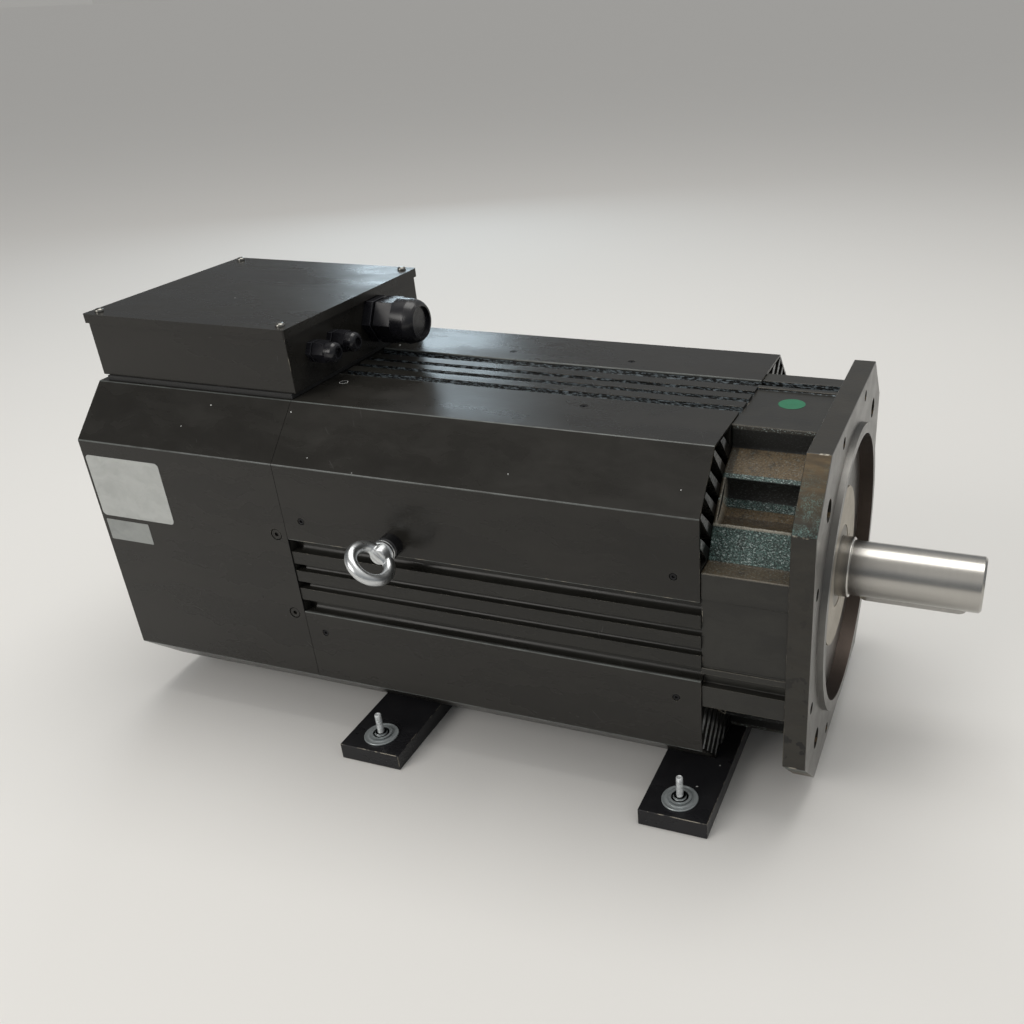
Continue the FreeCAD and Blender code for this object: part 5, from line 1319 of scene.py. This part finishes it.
# node, radius of the head, corner radius and depth of the socket, reach, finish
SUNK_SCREWS = (
    ("cover_screws", 0.00285, 0.0014, 0.0012, 0.010, "screw_black"),
    ("rear_cover_screws", 0.0049, 0.0021, 0.0020, 0.014, "sheet_black"),
)
SUNK_BY = 0.0003


def washer(outer, rise):
    """Washer with grooved face and a nut's collar, standing on z = 0."""
    thick = WASHER_THICK
    return lathe([
        (0.0027, 0.0), (outer - 0.0006, 0.0), (outer, 0.0004), (outer, thick - 0.0003),
        (outer - 0.0003, thick), (outer - 0.0012, thick), (outer - 0.0015, thick - 0.0002),
        (outer - 0.0040, thick - 0.0002), (outer - 0.0043, thick), (0.0098, thick),
        (0.0094, thick - 0.00018), (0.0078, thick - 0.00018), (0.0074, thick),
        (0.0058, thick), (0.0055, thick + 0.0003), (0.0055, rise - 0.0006),
        (0.0050, rise), (0.0034, rise), (0.0030, rise - 0.0004), (0.0027, rise - 0.0004),
        (0.0027, 0.0)], 72)


def sunk_places(node):
    """Where the screws of a node stand, each with its head facing out of its side."""
    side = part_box("rear_cover")[1].y
    places = []
    for low, high in members(node):
        middle = (low + high) / 2
        for axis in (1, 2):
            if max(abs(low[axis]), abs(high[axis])) > side - 0.0006:
                way = Vector((0.0, 0.0, 0.0))
                way[axis] = math.copysign(1.0, middle[axis])
                middle[axis] = way[axis] * (side - SUNK_BY)
                places.append(Matrix.Translation(middle) @ facing(way)
                              @ Matrix.Rotation(0.7 * len(places), 4, "Z"))
                break
    return places


class MOTOR_OT_fixings(bpy.types.Operator):
    """Make the studs, washers and screws that show"""
    bl_idname = "motor.fixings"
    bl_label = "Studs, washers and screws"

    def execute(self, context):
        pitch = context.scene.motor_metal.thread_pitch
        studs, heads = [], []
        for low, high in members("foot_studs"):
            start = high.z - THREAD_RUN
            end = start + SHANK_OVERLAP
            shank = lathe([(0.0, low.z), (SHANK_RADIUS, low.z), (SHANK_RADIUS, end),
                           (0.0, end)], 32)
            studs += [(thread(STUD_RADIUS, THREAD_DEPTH, pitch, start, high.z),
                       over(low, high, 0.0)), (shank, over(low, high, 0.0))]
        washers = [(washer((high.x - low.x) / 2, high.z - low.z), over(low, high, low.z))
                   for low, high in members("foot_washers")]
        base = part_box("box_lid")[1].z
        for index, (low, high) in enumerate(members("lid_screws")):
            heads.append((pan_head((high.x - low.x) / 2, high.z - base),
                          over(low, high, base)
                          @ Matrix.Rotation(0.4 + 1.1 * index, 4, "Z")))
        made = [("foot_studs", "foot_studs_turned", studs, 40.0, "zinc", "stud_zinc"),
                ("foot_washers", "foot_washers_turned", washers, 40.0, "zinc",
                 "washer_zinc"),
                ("lid_screws", "lid_screw_heads", heads, 30.0, "screw_bright", None)]
        for node, radius, across, depth, reach, finish in SUNK_SCREWS:
            made.append((node, node + "_sunk", [
                (socket_screw(radius, across, depth, reach), place)
                for place in sunk_places(node)], 30.0, "screw_black", finish))
        for node, name, parts, sharp, slot, finish in made:
            show(smooth(joined(name, parts), sharp), name, slot, finish, node=node)
        return {"FINISHED"}


class MOTOR_OT_rear_end(bpy.types.Operator):
    """Dress the fan, its guard, the box gasket and the shaft seal"""
    bl_idname = "motor.rear_end"
    bl_label = "Fan and seals"

    def execute(self, context):
        for node, width, finish in (
                ("fan_frame", 0.0004, None), ("fan_guard", 0.0003, None),
                ("fan_impeller", 0.0003, None), ("box_gasket", 0.0003, None),
                ("shaft_seal", 0.0002, "seal_tan")):
            dress(node, width, finish)
        return {"FINISHED"}


# name, middle in (x, z), size, corner radius, finish
PLATE_PLACES = (
    ("rating_plate", (-0.6196, 0.0636), (0.0805, 0.0600), 0.004, "plate_silver"),
    ("lower_label", (-0.6346, 0.0192), (0.0480, 0.0210), 0.0008, "label_grey"),
)
STICKER_PLACE = (-0.0517, -0.0024, 0.14502)


class MOTOR_OT_plates(bpy.types.Operator):
    """Put the bare plates and the round sticker on"""
    bl_idname = "motor.plates"
    bl_label = "Plates"

    def execute(self, context):
        settings = context.scene.motor_plates
        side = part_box("rear_cover")[0].y
        for name, (x, z), (wide, high), corner, finish in PLATE_PLACES:
            mesh = rounded_plate(wide, high, settings.thick, corner)
            mesh.transform(Matrix.Translation((x, side + 0.00002, z))
                           @ Matrix.Rotation(math.pi / 2, 4, "X"))
            show(mesh, name, "sheet_black", finish)
        size = settings.sticker * 2
        mesh = rounded_plate(size, size, settings.thick / 2, settings.sticker * 0.999, 16)
        mesh.transform(Matrix.Translation(STICKER_PLACE))
        show(mesh, "round_sticker", "cast_black", "sticker_green")
        return {"FINISHED"}


# Chips of the paint: place and size, by the way that their surface faces
CHIPS = (
    ((0.0, -1.0, 1.0), (
        (-0.5354, -0.1158, 0.1402, 0.0009), (-0.5587, -0.1314, 0.1246, 0.0006),
        (-0.4539, -0.1146, 0.1414, 0.0008), (-0.4249, -0.1416, 0.1144, 0.0006),
        (-0.2440, -0.1364, 0.1196, 0.0006), (-0.1048, -0.1336, 0.1224, 0.0006))),
    ((0.0, 0.0, 1.0), (
        (-0.4468, 0.0486, 0.1485, 0.0011), (-0.4528, 0.0225, 0.1475, 0.0008),
        (-0.4298, 0.0221, 0.1475, 0.0007), (-0.4415, -0.0378, 0.1485, 0.0007),
        (-0.0918, -0.1462, -0.1485, 0.0011), (-0.0804, -0.1151, -0.1485, 0.0009),
        (-0.5600, -0.0300, 0.2086, 0.0005), (-0.5150, 0.0100, 0.2086, 0.0005),
        (-0.4800, 0.0520, 0.2086, 0.0006), (-0.4960, -0.0180, 0.2086, 0.0004))),
)
WORN_HOLE = (-0.4397, -0.0565, 0.1485)
WORN_RIM = ((0.0033, 0.0), (0.0039, 0.0), (0.0036, 0.00005), (0.0033, 0.0))
LID_HOLE = (-0.4527, 0.0657, 0.2056)
DIMPLE = ((0.0, 0.0), (0.0013, 0.0), (0.0012, 0.00005), (0.0009, 0.00005),
          (0.0007, 0.000025), (0.0, 0.000025))


class MOTOR_OT_wear_marks(bpy.types.Operator):
    """Scatter the chips and flecks of the paint, and the worn rim of one screw hole"""
    bl_idname = "motor.wear_marks"
    bl_label = "Wear marks"

    def execute(self, context):
        marks = []
        for way, chips in CHIPS:
            for *spot, size in chips:
                fleck = lathe([(0.0, 0.0), (size, 0.0), (size * 0.75, size * 0.12),
                               (0.0, size * 0.2)], 9)
                marks.append((fleck, Matrix.Translation(spot) @ facing(way)
                              @ Matrix.Rotation(1.3 * len(marks), 4, "Z")
                              @ Matrix.Diagonal((1.0, 0.62, 1.0, 1.0))))
        marks.append((lathe(WORN_RIM, 40), Matrix.Translation(WORN_HOLE)))
        show(joined("paint_chips", marks), "paint_chips", "sheet_black", "fleck_white")
        # black disc over the small hole in the lid's lip: painted shade of the hole
        dimple = lathe(DIMPLE, 20)
        dimple.transform(Matrix.Translation(LID_HOLE)
                         @ Matrix.Rotation(math.pi / 2, 4, "Y"))
        show(dimple, "lid_hole_shade", "sheet_black", "spacer_black")
        return {"FINISHED"}


def aim(obj, eye, turn, tilt, roll):
    """Stand an object at a point so that it looks back along a turn and a tilt."""
    back = Vector((math.sin(turn) * math.cos(tilt), -math.cos(turn) * math.cos(tilt),
                   math.sin(tilt)))
    right = (-back).cross(Vector((0, 0, 1))).normalized()
    up = right.cross(-back)
    side = math.cos(roll) * right + math.sin(roll) * up
    top = -math.sin(roll) * right + math.cos(roll) * up
    obj.matrix_world = Matrix.Translation(eye) @ Matrix(
        (side, top, back)).transposed().to_4x4()


def softbox(name, eye, target, size, power, tint):
    """Soft rectangular light at a point, turned to another."""
    light = bpy.data.lights.new(name, "AREA")
    light.shape = "RECTANGLE"
    light.size, light.size_y = size
    light.energy = power
    light.color = tint
    link(name, light).matrix_world = (Matrix.Translation(eye)
                                      @ facing(Vector(eye) - Vector(target)))


def studio(settings):
    """World: a sky that dims to the rear, over walls that brighten to the front."""
    world = bpy.data.worlds.new("studio")
    world.use_nodes = True
    world.node_tree.nodes.clear()
    graph = Graph(world.node_tree)
    way = graph.xyz(graph.add("ShaderNodeTexCoord").outputs["Generated"])
    across = graph.maths("ADD", way["X"], graph.mul(way["Y"], 0.3))
    walls = graph.ramp(across, -0.52, -0.12, settings.low, settings.wall)
    height = graph.ramp(way["Z"], 0.25, 0.75)
    along = graph.ramp(way["X"], -0.62, -0.12, settings.dim, 1.0)
    sky = graph.mul(graph.mul(height, along), settings.sky)
    strength = graph.madd(graph.maths("SUBTRACT", 1.0, height), walls, sky)
    tint = graph.mix(height, (0.93, 0.965, 1.0), (1.0, 0.985, 0.955))
    light = graph.add("ShaderNodeBackground", {"Color": tint, "Strength": strength})
    graph.add("ShaderNodeOutputWorld", {0: light.outputs[0]})
    return world


class MOTOR_OT_stage(bpy.types.Operator):
    """Lay the floor, hang the lights and stand the camera"""
    bl_idname = "motor.stage"
    bl_label = "Stage"

    def execute(self, context):
        scene = context.scene
        settings = scene.motor_stage
        mesh = bpy.data.meshes.new("floor")
        mesh.from_pydata([
            (x * settings.reach * far, y * settings.reach * far, CAD_BOX[0][2] + rise)
            for far, rise in ((1.0, 0.0), (1.1, settings.sweep))
            for x, y in ((-1, -1), (1, -1), (1, 1), (-1, 1))], [],
            [(0, 1, 2, 3)] + [(i, i + 4, (i + 1) % 4 + 4, (i + 1) % 4)
                              for i in range(4)])
        paper = Finish("floor_paper", Roughness=0.8, Specular_IOR_Level=0.2)
        paper.feed(Base_Color=paper.mix(paper.noise(3.0, 5.0, 0.6),
                                        shade(settings.floor, 0.985), settings.floor))
        mesh.materials.append(paper.material)
        link("floor", mesh)
        scene.world = studio(settings)

        centre = (-0.25, 0.0, 0.05)
        softbox("overhead", (-0.3, 0.5, 2.4), centre, (2.2, 1.6), settings.key,
                (1.0, 0.985, 0.95))
        softbox("side", (-1.6, -2.2, 1.3), centre, (1.6, 1.4), settings.fill,
                (1.0, 0.97, 0.93))
        softbox("rear", (-1.66, 2.05, 0.72), (-0.45, 0.06, 0.2), (0.42, 0.5),
                settings.rim, (0.74, 0.90, 1.0))

        lens = bpy.data.cameras.new("camera")
        lens.lens = settings.lens
        lens.sensor_width = 36.0
        lens.shift_x, lens.shift_y = settings.shift
        lens.clip_start, lens.clip_end = 0.01, 300.0
        scene.camera = link("camera", lens)
        aim(scene.camera, Vector(settings.eye), settings.turn, settings.tilt,
            settings.roll)
        scene.view_settings.view_transform = "Standard"
        return {"FINISHED"}


class MOTOR_PT_panel(bpy.types.Panel):
    """Steps that finish the motor"""
    bl_idname = "MOTOR_PT_panel"
    bl_label = "Spindle servo motor"
    bl_space_type = "VIEW_3D"
    bl_region_type = "UI"
    bl_category = "Motor"

    def draw(self, context):
        for operator in STEPS:
            self.layout.operator(operator.bl_idname)


SETTINGS = {
    "motor_paint": MotorPaint, "motor_metal": MotorMetal, "motor_plates": MotorPlates,
    "motor_edges": MotorEdges, "motor_stage": MotorStage,
}
STEPS = (MOTOR_OT_finishes, MOTOR_OT_covers, MOTOR_OT_casting, MOTOR_OT_stator_frame,
         MOTOR_OT_junction_box, MOTOR_OT_glands, MOTOR_OT_lifting_eye,
         MOTOR_OT_shaft_end, MOTOR_OT_foot_bars, MOTOR_OT_fixings, MOTOR_OT_rear_end,
         MOTOR_OT_plates, MOTOR_OT_wear_marks, MOTOR_OT_stage)
CLASSES = (*SETTINGS.values(), *STEPS, MOTOR_PT_panel)


def register():
    for item in CLASSES:
        bpy.utils.register_class(item)
    for name, group in SETTINGS.items():
        setattr(bpy.types.Scene, name, PointerProperty(type=group))


def unregister():
    for name in SETTINGS:
        delattr(bpy.types.Scene, name)
    for item in reversed(CLASSES):
        bpy.utils.unregister_class(item)


def main():
    register()
    for step in STEPS:
        family, name = step.bl_idname.split(".")
        getattr(getattr(bpy.ops, family), name)()


if __name__ == "__main__":
    main()
